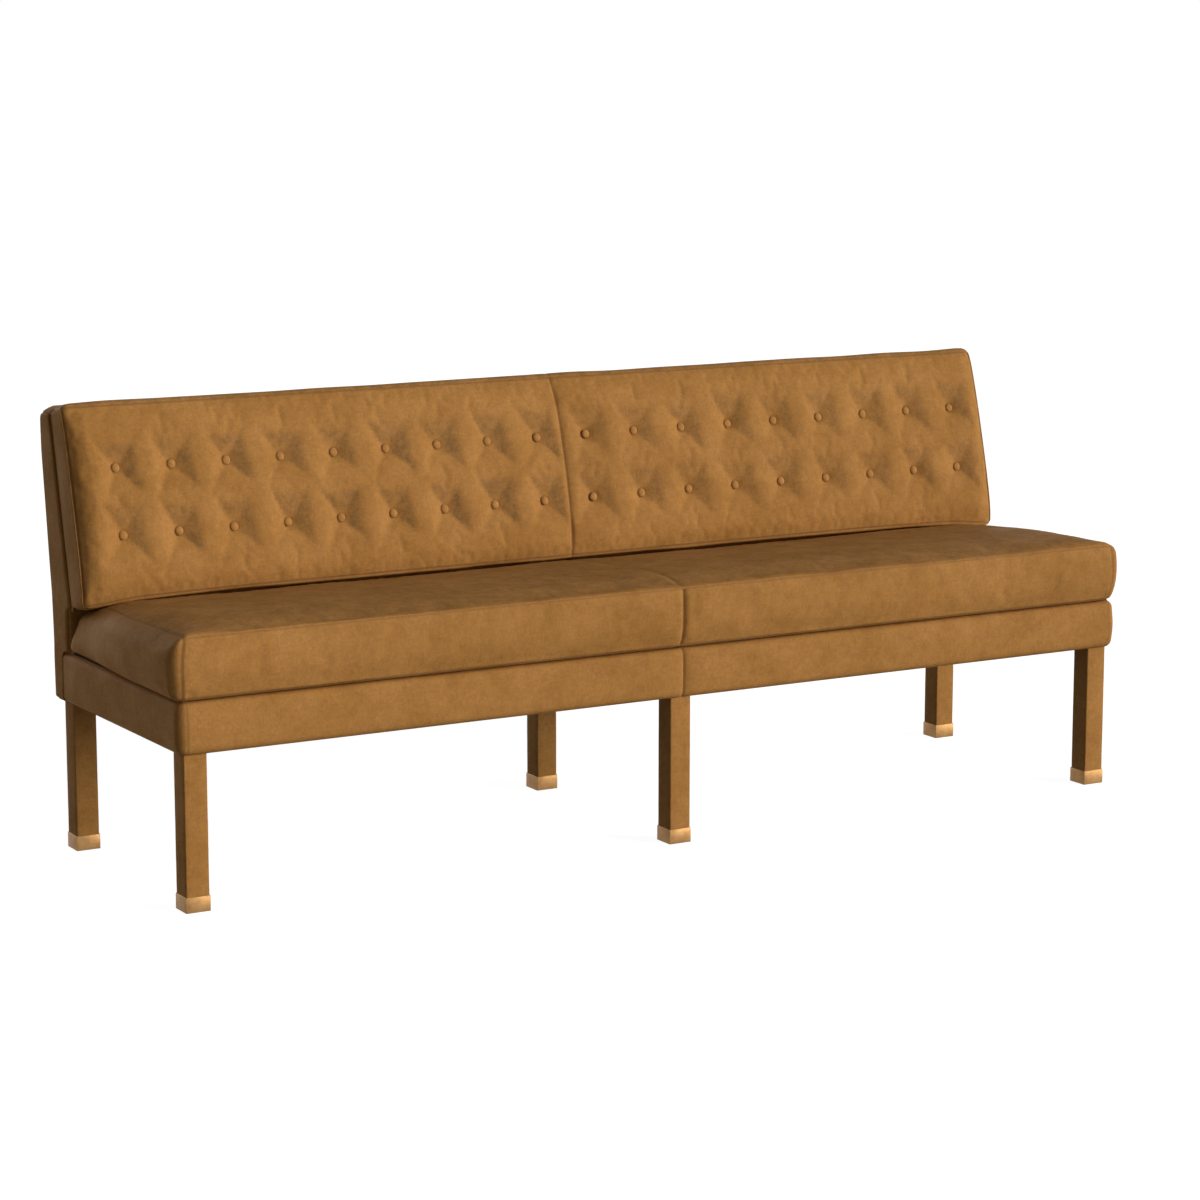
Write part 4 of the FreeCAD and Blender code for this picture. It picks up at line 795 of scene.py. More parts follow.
def swollen(name, points, quads, held, slack, most):
    """How far each point moves when the sewn leather is filled: a short cloth run with its motion capped."""
    piece = new_mesh(name, points, quads)
    sewn = piece.vertex_groups.new(name="sewn")
    sewn.add([int(k) for k in np.flatnonzero(held)], 1.0, "REPLACE")
    cloth = piece.modifiers.new("Cloth", "CLOTH")
    for key, value in CLOTH_SETTINGS.items():
        setattr(cloth.settings, key, value)
    cloth.settings.shrink_min = -slack
    cloth.settings.effector_weights.gravity = 0
    cloth.settings.vertex_group_mass = "sewn"
    cloth.collision_settings.use_collision = False
    cloth.point_cache.frame_start = 1
    cloth.point_cache.frame_end = CLOTH_FRAMES
    scene = bpy.context.scene
    for step in range(1, CLOTH_FRAMES + 1):
        scene.frame_set(step)
    run = piece.evaluated_get(bpy.context.evaluated_depsgraph_get()).data
    moved = np.empty(len(points) * 3, np.float32)
    run.vertices.foreach_get("co", moved)
    delta = moved.reshape(-1, 3) - points
    scene.frame_set(1)
    discard(piece)
    length = np.maximum(np.linalg.norm(delta, axis=1), SMALL)
    return delta * (most * np.tanh(length / most) / length)[:, None]


def cloth_moves(name, form, step, shape, held, slack, most):
    """Grid lines of a coarse copy of a padded form and the moves of its points in the cloth run."""
    lines = [np.linspace(-1, 1, 2 * round(form.reach() / step) + 1)]
    for length in (form.deep_length(), form.high_length()):
        lines.append(np.linspace(0, 1, max(4, round(length / step)) + 1))
    grid, sides = box_skin(*lines)
    quads = np.concatenate(list(sides.values()))
    points = shape(grid)
    values = np.zeros(tuple(len(line) for line in lines) + (3,))
    spots = [np.searchsorted(line, grid[:, k] - SMALL) for k, line in enumerate(lines)]
    values[spots[0], spots[1], spots[2]] = swollen(name, points, quads, held(grid, points), slack, most)
    return lines, values


def seam_path(grid, points, chosen, order):
    """The chosen points of a mesh as a line, in the order of a grid column."""
    rows = np.flatnonzero(chosen)
    rows = rows[np.argsort(grid[rows, order])]
    return points[rows]


# Nodes

def set_input(tree, socket, value):
    """Gives an input a value, or joins it to an output or to a node's first output."""
    if isinstance(value, bpy.types.Node):
        value = value.outputs[0]
    if isinstance(value, bpy.types.NodeSocket):
        tree.links.new(value, socket)
    else:
        socket.default_value = value


def add_node(tree, kind, inputs=(), **settings):
    """A new node with its settings, its inputs given by name or number."""
    node = tree.nodes.new(kind)
    for name, value in settings.items():
        setattr(node, name, value)
    for key, value in dict(inputs).items():
        set_input(tree, node.inputs[key], value)
    return node


# Materials

class Shader:
    """A material under construction, with short calls for its nodes."""

    def __init__(self, name):
        self.material = bpy.data.materials.new(name)
        self.material.use_nodes = True
        self.tree = self.material.node_tree
        self.skin = self.tree.nodes["Principled BSDF"]
        self.coordinates = self.add("ShaderNodeTexCoord").outputs["Object"]

    def add(self, kind, inputs=(), **settings):
        """A new node of the material."""
        return add_node(self.tree, kind, inputs, **settings)

    def attribute(self, name):
        """A value that the points of the piece carry."""
        return self.add("ShaderNodeAttribute", attribute_name=name).outputs["Fac"]

    def stretched(self, *scale):
        """Object coordinates scaled by axis."""
        return self.add("ShaderNodeMapping", {"Vector": self.coordinates, "Scale": scale})

    def noise(self, size, detail=3.0, roughness=0.5, vector=None):
        """Noise whose features are about the given size in metres."""
        node = self.add("ShaderNodeTexNoise", {"Vector": vector or self.coordinates, "Scale": 1 / size,
                                               "Detail": detail, "Roughness": roughness})
        return node.outputs["Fac"]

    def cells(self, size):
        """Cell pattern whose cells are about the given size in metres."""
        node = self.add("ShaderNodeTexVoronoi", {"Vector": self.coordinates, "Scale": 1 / size})
        return node.outputs["Distance"]

    def wave(self, size, direction, distortion):
        """Bands of the given size across one axis."""
        node = self.add("ShaderNodeTexWave", {"Vector": self.coordinates, "Scale": WAVE_SCALE / size,
                                              "Distortion": distortion}, bands_direction=direction)
        return node.outputs["Fac"]

    def ranged(self, value, low=0.3, high=0.7, to_low=0.0, to_high=1.0):
        """A value moved from one range to another and held there."""
        node = self.add("ShaderNodeMapRange", {"Value": value, "From Min": low, "From Max": high,
                                               "To Min": to_low, "To Max": to_high}, clamp=True)
        return node.outputs["Result"]

    def maths(self, operation, first, second):
        """Two values or outputs combined."""
        return self.add("ShaderNodeMath", {0: first, 1: second}, operation=operation).outputs["Value"]

    def mixed(self, share, first, second, blend_type="MIX"):
        """A colour between two colours or outputs."""
        node = self.add("ShaderNodeMix", {"Factor": share}, data_type="RGBA", blend_type=blend_type)
        for socket, value in zip([s for s in node.inputs if s.type == "RGBA"], (first, second)):
            set_input(self.tree, socket, (*value, 1) if isinstance(value, tuple) else value)
        return next(s for s in node.outputs if s.type == "RGBA")

    def blend(self, value, colours, low=0.3, high=0.7):
        """A colour between two, as a value runs over a range."""
        return self.mixed(self.ranged(value, low, high), *colours)

    def toned(self, colour, value):
        """A colour made lighter or darker by a value about 1."""
        return self.add("ShaderNodeHueSaturation", {"Color": colour, "Value": value}).outputs["Color"]

    def bump(self, height, distance, strength, below=None):
        """A bump of the given depth in metres on top of another one."""
        node = self.add("ShaderNodeBump", {"Height": height, "Distance": distance, "Strength": strength})
        if below is not None:
            set_input(self.tree, node.inputs["Normal"], below)
        return node.outputs["Normal"]

    def finish(self, colour, roughness, normal, more=()):
        """Sets the skin's inputs and gives the material."""
        inputs = {"Base Color": colour, "Roughness": roughness, "Normal": normal, **dict(more)}
        for name, value in inputs.items():
            set_input(self.tree, self.skin.inputs[name], value)
        return self.material


def made_once(build):
    """A material function that gives the same material each time."""
    name = build.__name__ + "_finish"

    def ready():
        return bpy.data.materials.get(name) or build(Shader(name))

    return ready


@made_once
def tan_leather(shader):
    """Nubuck leather: clouds of two tans, a fine grain and faint cross threads, with painted shade in the
    seams, round the buttons, on the tufts and on the tops.
    """
    settings = bpy.context.scene.banquette_leather
    clouds = shader.noise(settings.clouds, 6.0, 0.62)
    fields = shader.noise(settings.clouds * 5, 2.0, 0.5)
    share = shader.maths("ADD", shader.ranged(clouds, 0.34, 0.68, 0, 0.62),
                         shader.ranged(fields, 0.35, 0.65, 0, 0.38))
    colour = shader.mixed(share, tuple(settings.dark), tuple(settings.light))
    upright = shader.noise(0.0034, 3.0, 0.65, shader.stretched(1, 1, 0.14))
    level = shader.noise(0.0034, 3.0, 0.65, shader.stretched(0.14, 0.3, 1))
    specks = shader.noise(0.0050, 4.0, 0.8)
    # Noise for random tone, which also breaks the painted shade into patches
    wear_and_shade_mottle = shader.noise(0.020, 7.0, 0.78)
    tone = shader.maths("ADD", shader.ranged(upright, 0.3, 0.7, 0.90, 1.0),
                        shader.ranged(level, 0.3, 0.7, 0.0, 0.09))
    tone = shader.maths("MULTIPLY", tone, shader.ranged(specks, 0.36, 0.66, 0.91, 1.06))
    tone = shader.maths("MULTIPLY", tone, shader.ranged(wear_and_shade_mottle, 0.40, 0.56, 0.93, 1.03))
    # Painted shade on the tufts, the pad's top and right end and the seat's top, broken into patches and
    # tinted
    patchy_shade = shader.maths("MULTIPLY", shader.attribute("nap_shade"),
                          shader.ranged(wear_and_shade_mottle, 0.38, 0.58, 1.0, 0.40))
    colour = shader.mixed(patchy_shade, shader.toned(colour, tone), SHADE_TINT, "MULTIPLY")
    # Painted shade along the seams and round the buttons
    seam = shader.ranged(shader.attribute("seam_shade"), 0.0, 1.0, 0.0, 0.9)
    colour = shader.mixed(seam, colour, tuple(settings.seam))
    normal = shader.bump(shader.noise(0.012, 5.0, 0.65), 0.0016, 0.35)
    normal = shader.bump(shader.noise(settings.grain * 4, 4.0, 0.6), 0.0007, 0.35, normal)
    normal = shader.bump(shader.cells(settings.grain), 0.00025, 0.5, normal)
    roughness = shader.ranged(clouds, 0.3, 0.7, 0.72, 0.58)
    return shader.finish(colour, roughness, normal, {"Specular IOR Level": 0.04})


@made_once
def button_leather(shader):
    """The same leather drawn tight over the buttons, a little lighter in places where it rubs."""
    settings = bpy.context.scene.banquette_leather
    clouds = shader.noise(0.012, 4.0, 0.6)
    colour = shader.blend(clouds, (tuple(settings.dark), tuple(settings.light)))
    normal = shader.bump(shader.cells(settings.grain), 0.0002, 0.5, shader.bump(clouds, 0.0008, 0.4))
    return shader.finish(colour, 0.62, normal, {"Specular IOR Level": 0.08})


@made_once
def brushed_brass(shader):
    """Lacquered brass with fine brush lines round the cap and a slight tarnish."""
    lines = shader.noise(0.0016, 3.0, 0.6, shader.stretched(0.10, 0.10, 3.0))
    tarnish = shader.noise(0.016, 4.0, 0.6)
    colour = shader.blend(tarnish, BRASS_COLOURS, 0.35, 0.70)
    colour = shader.toned(colour, shader.ranged(lines, 0.3, 0.7, 0.92, 1.04))
    roughness = shader.ranged(lines, 0.3, 0.7, 0.43, 0.57)
    return shader.finish(colour, roughness, shader.bump(lines, 0.00012, 0.4), {"Metallic": 1.0})


@made_once
def beech_timber(shader):
    """Pale beech of the frame and legs, with grain along its length and small flecks."""
    grain = shader.noise(0.006, 5.0, 0.6, shader.stretched(0.12, 1, 0.25))
    flecks = shader.noise(0.0018, 2.0, 0.5, shader.stretched(0.3, 1, 0.3))
    colour = shader.toned(shader.blend(grain, BEECH_COLOURS), shader.ranged(flecks, 0.55, 0.75, 1.0, 0.86))
    return shader.finish(colour, 0.55, shader.bump(grain, 0.0003, 0.5))


@made_once
def birch_board(shader):
    """Birch plywood: a pale face with thin dark plies across its thickness."""
    plies = shader.wave(0.0016, "Y", 0.4)
    face = shader.noise(0.03, 4.0, 0.6, shader.stretched(0.2, 1, 1))
    colour = shader.toned(shader.blend(face, BIRCH_COLOURS), shader.ranged(plies, 0.2, 0.4, 0.88, 1.0))
    return shader.finish(colour, 0.6, shader.bump(face, 0.0002, 0.5))


@made_once
def jute_webbing(shader):
    """Woven webbing with a coarse warp and weft."""
    weave = shader.maths("MULTIPLY", shader.wave(0.0022, "X", 0.6), shader.wave(0.0028, "Y", 0.6))
    colour = shader.blend(weave, JUTE_COLOURS, 0.1, 0.8)
    return shader.finish(colour, 0.9, shader.bump(weave, 0.0006, 0.8))


@made_once
def deck_twill(shader):
    """Dark brown lining cloth of the seat deck, with a fine diagonal weave, its colour kept near black partly
    as painted shade where it shows beside the cushion.
    """
    threads = shader.noise(0.0022, 3.0, 0.6)
    colour = shader.blend(shader.noise(0.09, 4.0, 0.6), TWILL_COLOURS)
    colour = shader.toned(colour, shader.ranged(threads, 0.3, 0.7, 0.88, 1.10))
    normal = shader.bump(shader.wave(0.0011, "DIAGONAL", 0.3), 0.0004, 0.6, shader.bump(threads, 0.0005, 0.4))
    return shader.finish(colour, 0.92, normal, {"Specular IOR Level": 0.2})


@made_once
def dust_cambric(shader):
    """Black non-woven cloth under the seat, with small embossed dots."""
    fibres = shader.noise(0.0035, 5.0, 0.7, shader.stretched(0.4, 1, 1))
    colour = shader.blend(fibres, CAMBRIC_COLOURS, 0.35, 0.70)
    normal = shader.bump(shader.cells(0.0032), 0.0004, 0.5, shader.bump(fibres, 0.0004, 0.4))
    return shader.finish(colour, 0.82, normal)


@made_once
def polyester_wadding(shader):
    """Off-white fibre wadding."""
    fibres = shader.noise(0.004, 6.0, 0.75)
    normal = shader.bump(fibres, 0.002, 0.6)
    return shader.finish(shader.blend(fibres, WADDING_COLOURS), 0.95, normal, {"Sheen Weight": 0.3})


@made_once
def tape_weave(shader):
    """Brown woven tape of the zip."""
    colour = shader.blend(shader.noise(0.0016, 2.0, 0.6), TAPE_COLOURS)
    return shader.finish(colour, 0.85, shader.bump(shader.wave(0.0012, "X", 0.2), 0.0003, 0.6))


@made_once
def zip_metal(shader):
    """Dulled metal of the zip's teeth and slider."""
    wear = shader.noise(0.003, 3.0, 0.6)
    roughness = shader.ranged(wear, 0.3, 0.7, 0.32, 0.48)
    normal = shader.bump(wear, 0.0001, 0.4)
    return shader.finish(shader.blend(wear, ZIP_COLOURS), roughness, normal, {"Metallic": 1.0})


@made_once
def plain_steel(shader):
    """Zinc-plated steel of the fixings, with cloudy plating."""
    clouds = shader.noise(0.006, 4.0, 0.6)
    roughness = shader.ranged(clouds, 0.3, 0.7, 0.30, 0.46)
    normal = shader.bump(clouds, 0.0001, 0.3)
    return shader.finish(shader.blend(clouds, STEEL_COLOURS), roughness, normal, {"Metallic": 1.0})


@made_once
def waxed_thread(shader):
    """Waxed thread and twine, a tan twist."""
    colour = shader.blend(shader.noise(0.0015, 3.0, 0.6), THREAD_COLOURS)
    return shader.finish(colour, 0.6, shader.bump(shader.wave(0.0008, "DIAGONAL", 0.5), 0.0002, 0.7))


# Node trees

def new_tree(name, inputs):
    """A geometry tree with a geometry in, the named inputs and a geometry out."""
    tree = bpy.data.node_groups.new(name, "GeometryNodeTree")
    tree.interface.new_socket("Geometry", in_out="INPUT", socket_type="NodeSocketGeometry")
    for label, (kind, default) in inputs.items():
        socket = tree.interface.new_socket(label, in_out="INPUT", socket_type="NodeSocket" + kind)
        if default is not None:
            socket.default_value = default
    tree.interface.new_socket("Geometry", in_out="OUTPUT", socket_type="NodeSocketGeometry")
    return tree, tree.nodes.new("NodeGroupInput").outputs


def end_tree(tree, geometry, material):
    """Ends a tree: copies made real, shaded smooth and given their material."""
    geometry = add_node(tree, "GeometryNodeRealizeInstances", {"Geometry": geometry})
    geometry = add_node(tree, "GeometryNodeSetShadeSmooth", {"Geometry": geometry, "Shade Smooth": True})
    geometry = add_node(tree, "GeometryNodeSetMaterial", {"Geometry": geometry, "Material": material})
    add_node(tree, "NodeGroupOutput", {0: geometry})
    return tree


def stitch_tree():
    """Stitches along the edges of a line: a slim bead every pitch, lying along the line."""
    tree, given = new_tree("sewn_stitches", {
        "Pitch": ("Float", 0.0045), "Length": ("Float", 0.0033), "Thickness": ("Float", 0.0009),
        "Material": ("Material", None)})
    line = add_node(tree, "GeometryNodeMeshToCurve", {"Mesh": given["Geometry"]})
    spread = add_node(tree, "GeometryNodeResampleCurve", {"Curve": line, "Length": given["Pitch"]},
                      mode="LENGTH")
    bead = add_node(tree, "GeometryNodeMeshUVSphere", {"Segments": 6, "Rings": 5, "Radius": 0.5})
    size = add_node(tree, "ShaderNodeCombineXYZ", {"X": given["Thickness"], "Y": given["Thickness"],
                                                   "Z": given["Length"]})
    tangent = add_node(tree, "GeometryNodeInputTangent")
    turn = add_node(tree, "FunctionNodeAlignRotationToVector", {"Vector": tangent}, axis="Z")
    copies = add_node(tree, "GeometryNodeInstanceOnPoints", {
        "Points": spread, "Instance": bead, "Rotation": turn, "Scale": size})
    return end_tree(tree, copies, given["Material"])


def row_tree(name):
    """Copies of an object in a straight row, all turned alike, with a small seeded roll of each."""
    tree, given = new_tree(name, {
        "Start": ("Vector", None), "Step": ("Vector", None), "Count": ("Int", 18),
        "Turn": ("Rotation", None), "Roll": ("Float", 0.0), "Seed": ("Int", 3),
        "Piece": ("Object", None), "Material": ("Material", None)})
    row = add_node(tree, "GeometryNodeMeshLine", {"Count": given["Count"], "Start Location": given["Start"],
                                                  "Offset": given["Step"]})
    shown = add_node(tree, "GeometryNodeObjectInfo", {"Object": given["Piece"]})
    least = add_node(tree, "ShaderNodeMath", {0: given["Roll"], 1: -1}, operation="MULTIPLY")
    chance = add_node(tree, "FunctionNodeRandomValue", {"Seed": given["Seed"]}, data_type="FLOAT")
    for socket, value in zip([s for s in chance.inputs if s.type == "VALUE"], (least, given["Roll"])):
        set_input(tree, socket, value)
    drawn = next(s for s in chance.outputs if s.type == "VALUE")
    roll = add_node(tree, "FunctionNodeAxisAngleToRotation", {"Angle": drawn})
    turned = add_node(tree, "FunctionNodeRotateRotation", {"Rotation": given["Turn"], "Rotate By": roll},
                      rotation_space="LOCAL")
    copies = add_node(tree, "GeometryNodeInstanceOnPoints", {
        "Points": row, "Instance": shown.outputs["Geometry"], "Rotation": turned})
    return end_tree(tree, copies, given["Material"])


def sleeve_tree():
    """A leather sleeve: a square outline with rounded corners carried up a line, with faint wrinkles."""
    tree, given = new_tree("leg_sleeve", {
        "Foot": ("Vector", None), "Height": ("Float", 0.28), "Side": ("Float", 0.044),
        "Corner": ("Float", 0.003), "Ripple": ("Float", 0.0006), "Seed": ("Float", 0.0),
        "Material": ("Material", None)})
    top = add_node(tree, "ShaderNodeCombineXYZ", {"Z": given["Height"]})
    run = add_node(tree, "GeometryNodeCurvePrimitiveLine", {"End": top})
    spread = add_node(tree, "GeometryNodeResampleCurve", {"Curve": run, "Count": 40}, mode="COUNT")
    square = add_node(tree, "GeometryNodeCurvePrimitiveQuadrilateral", {"Width": given["Side"],
                                                                       "Height": given["Side"]})
    rounded = add_node(tree, "GeometryNodeFilletCurve", {"Curve": square, "Count": 5,
                                                         "Radius": given["Corner"]}, mode="POLY")
    split = add_node(tree, "GeometryNodeSubdivideCurve", {"Curve": rounded, "Cuts": 2})
    wall = add_node(tree, "GeometryNodeCurveToMesh", {"Curve": spread, "Profile Curve": split})
    place = add_node(tree, "GeometryNodeInputPosition")
    wrinkle = add_node(tree, "ShaderNodeTexNoise", {"Scale": 28, "Vector": place, "W": given["Seed"]},
                       noise_dimensions="4D")
    centred = add_node(tree, "ShaderNodeVectorMath", {0: wrinkle.outputs["Color"], 1: (0.5, 0.5, 0.5)},
                       operation="SUBTRACT")
    shift = add_node(tree, "ShaderNodeVectorMath", {0: centred, "Scale": given["Ripple"]}, operation="SCALE")
    level = add_node(tree, "ShaderNodeVectorMath", {0: shift, 1: (1, 1, 0)}, operation="MULTIPLY")
    rippled = add_node(tree, "GeometryNodeSetPosition", {"Geometry": wall, "Offset": level})
    placed = add_node(tree, "GeometryNodeTransform", {"Geometry": rippled, "Translation": given["Foot"]})
    return end_tree(tree, placed, given["Material"])


# Pieces

class Draft:
    """A padded form on its fine grid, ready for seams, folds and its cloth run."""

    def __init__(self, form, fine, coarse, reach, coarse_deep=None):
        self.form = form
        lengths = (form.reach(), form.deep_length(), form.high_length())
        spacing = (coarse, coarse_deep or coarse, coarse)
        stops = ([-1, 0, 1], [0, 1], [0, 1])
        self.lines = [graded_run(stop, fine / size, step / size, reach / size)
                      for stop, size, step in zip(stops, lengths, spacing)]
        self.grid, self.sides = box_skin(*self.lines)
        self.quads = np.concatenate(list(self.sides.values()))
        along, deep, high = self.grid.T
        self.to_end = (1 - np.abs(along)) * lengths[0]
        self.to_middle = np.abs(along) * lengths[0]
        self.to_deep = np.minimum(deep, 1 - deep) * lengths[1]
        self.to_high = np.minimum(high, 1 - high) * lengths[2]
        self.points = form.points(self.grid)

    def edge_gap(self):
        """Distance of each point to the nearest edge of the side that it lies on."""
        return np.sort(np.stack([self.to_end, self.to_deep, self.to_high]), axis=0)[1]

    def pushed(self, amount):
        """Moves the points outwards by an amount each."""
        self.points = self.points + point_normals(self.points, self.quads) * amount[:, None]

    def faces(self, flat_side=None):
        """The quads, with one side closed by a single flat face if it is named."""
        rows = [quads for side, quads in self.sides.items() if side != flat_side]
        faces = np.concatenate(rows).tolist()
        if flat_side is not None:
            faces.append(side_edge(self.sides[flat_side]))
        return faces

    def trimmed(self, faces):
        """The points that the faces use, and the faces numbered anew."""
        used = sorted({point for face in faces for point in face})
        place = {point: k for k, point in enumerate(used)}
        return np.array(used), [[place[point] for point in face] for face in faces]


def sewn_groove(gap, depth, width):
    """Push of the leather beside a seam: down into the seam, with a slight swell next to it."""
    share, away, spread = GROOVE_SWELL
    return -depth * ridge(gap, width) + share * depth * ridge(gap - away * width, spread * width)


def seam_dip(gap):
    """Shape of the leather drawn in at a middle seam: a narrow crease in a soft hollow."""
    return sum(share * ridge(gap, width) for share, width in SEAM_DIP)


def seat_form():
    """The loose seat cushion without its seams."""
    settings = bpy.context.scene.banquette_seat
    low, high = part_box("cushion_cover")
    depth = high.y - low.y
    height = high.z - low.z - settings.crown

    def place(deep, up, crown):
        return low.y + deep * depth, low.z + up * height, crown

    return PaddedForm(Outline(SEAT_OUTLINE_SHARES, place), high.x - settings.bulge - SEAT_EASE, settings.roll,
                      SEAT_SEAM_TURN, settings.bulge, settings.crown, SEAT_CROWN_SHARES, SEAT_CROWN_REACH,
                      SEAT_CROWN_CURVE)


def pad_form():
    """The back pad without its seams and tufts, in the raked frame."""
    settings = bpy.context.scene.banquette_pad
    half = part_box("pad_cover")[1].x + PAD_END_SWELL

    def place(deep, up, crown):
        return -settings.thickness * (1 - deep), up * settings.height - settings.drop, crown

    return PaddedForm(Outline(PAD_OUTLINE_SHARES, place), half, settings.roll, PAD_SEAM_TURN, 0.0,
                      settings.crown, PAD_CROWN_SHARES, PAD_CROWN_REACH, PAD_CROWN_CURVE, settings.lean,
                      tuple(settings.foot), crown_up=False)


def seat_shape(form):
    """Maker of seat points, drawn in a little at the rear of both ends and laid a little to the left."""

    def shape(grid):
        points = form.points(grid)
        deep, high = grid[:, 1], grid[:, 2]
        side = np.sign(points[:, 0])
        beyond = np.abs(points[:, 0]) - form.half
        low_share, bend_share, rise_share, bend = SEAT_TAPER_BY_HEIGHT
        left = SEAT_REAR_TAPER[0] * (low_share + bend_share * ease(high / bend) + rise_share * high)
        taper = np.where(side < 0, left, SEAT_REAR_TAPER[1])
        reach, start, length = SEAT_TAPER_REACH
        inward = taper * ease(beyond / reach + 1) * ease((deep - start) / length)
        reach, height = SEAT_TUCK_REACH
        inward += SEAT_TUCK * (1 - ease(high / height)) * ease(beyond / reach + 1)
        points[:, 0] += SEAT_SHIFT - side * inward
        reach, start, height, length = SEAT_CORNER_REACH
        corner = np.clip(beyond / reach + 1, 0, 1) ** 2 * ease((high - start) / height)
        points[:, 2] -= SEAT_CORNER_DROP * corner * (1 - ease(deep / length))
        return points

    return shape


def cloth_shift(name, draft, step, shape, held, slack, most):
    """Moves of the fine points in the cloth run."""
    lines, values = cloth_moves(name, draft.form, step, shape, held, slack, most)
    return resampled(lines, values, draft.grid)


def corner_count(grid):
    """How many of its columns have each grid point on a side of the box."""
    return (np.abs(grid[:, 0]) >= 1).astype(int) + sum(
        (grid[:, k] <= 0) | (grid[:, k] >= 1) for k in (1, 2))


def seat_held(grid, points):
    """Points of the seat that its seams and the deck hold still."""
    sewn_middle = (np.abs(grid[:, 0]) < NEAR) & (grid[:, 2] < SEAT_SEWN_SHARE)
    return ((corner_count(grid) > 1) | sewn_middle | (grid[:, 2] <= 0)
            | (grid[:, 1] >= 1) | ((grid[:, 2] >= 1) & (grid[:, 1] > SEAT_UNDER_PAD_SHARE)))


def build_seat_cushion():
    """The seat cushion: sewn box with crown, seams and soft undulations."""
    settings = bpy.context.scene.banquette_seat
    draft = Draft(seat_form(), *SEAT_GRID)
    shape = seat_shape(draft.form)
    draft.points = shape(draft.grid)
    draft.points += cloth_shift("seat_run", draft, SEAT_RUN_STEP, shape, seat_held, SEAT_SLACK,
                                settings.swelling)
    along, deep, high = draft.grid.T
    gap = draft.edge_gap()
    free = ease(gap / SEAT_FREE) * ease(draft.to_middle / SEAT_FREE)
    lower = (high <= 0) | (deep >= 1)
    draft.pushed(np.where(lower, 0, waves(draft.points, SEAT_WAVES) * free))
    draft.pushed(np.where(lower, 0, waves(draft.points, SEAT_EDGE_WAVES) * ridge(gap, SEAT_EDGE_REACH)))
    place, width, start = SEAT_CREST
    crest = np.where(high >= 1, ridge(draft.to_deep - place, width), 0) * (deep < 0.5)
    crest *= ease(draft.to_deep / start)
    draft.pushed(crest * waves(draft.points, SEAT_CREST_WAVES))
    hidden, on_top, end = SEAT_MIDDLE_SHARES
    middle = np.where(lower, hidden, np.where(high >= 1, on_top, 1)) * ease((1 - np.abs(along)) / end)
    draft.pushed(sewn_groove(gap, *SEAT_GROOVE)
                 - settings.seam_depth * middle * seam_dip(draft.to_middle))
    draft.points[:, 2] = np.maximum(draft.points[:, 2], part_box("cushion_cover")[0].z)
    # Painted shade along the seams and the middle seam
    shade = np.maximum(SEAT_SEAM_SHADE * ridge(gap, SEAM_LINE), ridge(draft.to_middle, SEAM_LINE) * middle)
    piece = new_mesh("seat_cushion_leather", draft.points, draft.faces(), tan_leather(), shade)
    # Painted shade over the seat's top, from a wavy edge behind the front seam back towards the rear
    edge, wider, start, length, soft = SEAT_SHADE_EDGE
    shade_edge = edge + waves(draft.points, SEAT_SHADE_EDGE_WAVES)
    shade_edge += wider * ease((draft.points[:, 0] - start) / length)
    worn = np.where(high >= 1, ease((draft.to_deep - shade_edge) / soft), 0) * (deep < SEAT_SHADE_END)
    set_layer(piece, "nap_shade", SEAT_TOP_SHADE * worn)
    fit_out(piece, "seat_cushion", ("cushion_cover", "cushion_foam"))
    paths = [((along == 0) & (high >= 1), 1), ((along == 0) & (deep <= 0), 2)]
    for end in (-1, 1):
        for edge in (0, 1):
            paths += [((along == end) & (deep == edge), 2), ((along == end) & (high == edge), 1)]
    paths += [((deep == 0) & (high == edge), 0) for edge in (0, 1)]
    lines = [seam_path(draft.grid, draft.points, chosen, order) for chosen, order in paths]
    sew("cushion_seam_stitches", lines, "seat_cushion")


def sew(name, lines, body):
    """Stitches along several lines as one piece."""
    points = []
    edges = []
    for line in lines:
        first = len(points)
        points.extend(np.asarray(line))
        edges.extend((first + k, first + k + 1) for k in range(len(line) - 1))
    fit_out(grown(name, stitch_tree(), {"Material": waxed_thread()}, points, edges), body)


def row_height(node):
    """Height up the slope of a row of buttons."""
    low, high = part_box(node)
    return local_height(np.array([(low + high) / 2]))[0]


def tuft_places():
    """Along-bench place and height up the slope of every button."""
    places = []
    for node in ("buttons_lower_row", "buttons_upper_row"):
        height = row_height(node)
        places += [(x + PAD_SHIFT, height) for x in button_line(*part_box(node))]
    return places


def button_line(low, high):
    """Places of the buttons of a row along the bench."""
    radius = BUTTON_DIAMETER / 2
    return np.linspace(low.x + radius, high.x - radius, BUTTONS_IN_ROW)


def local_height(points):
    """Height up the raked slope of points of the bench."""
    settings = bpy.context.scene.banquette_pad
    y = points[:, 1] - settings.foot[0]
    z = points[:, 2] - settings.foot[1]
    return y * math.sin(settings.lean) + z * math.cos(settings.lean)


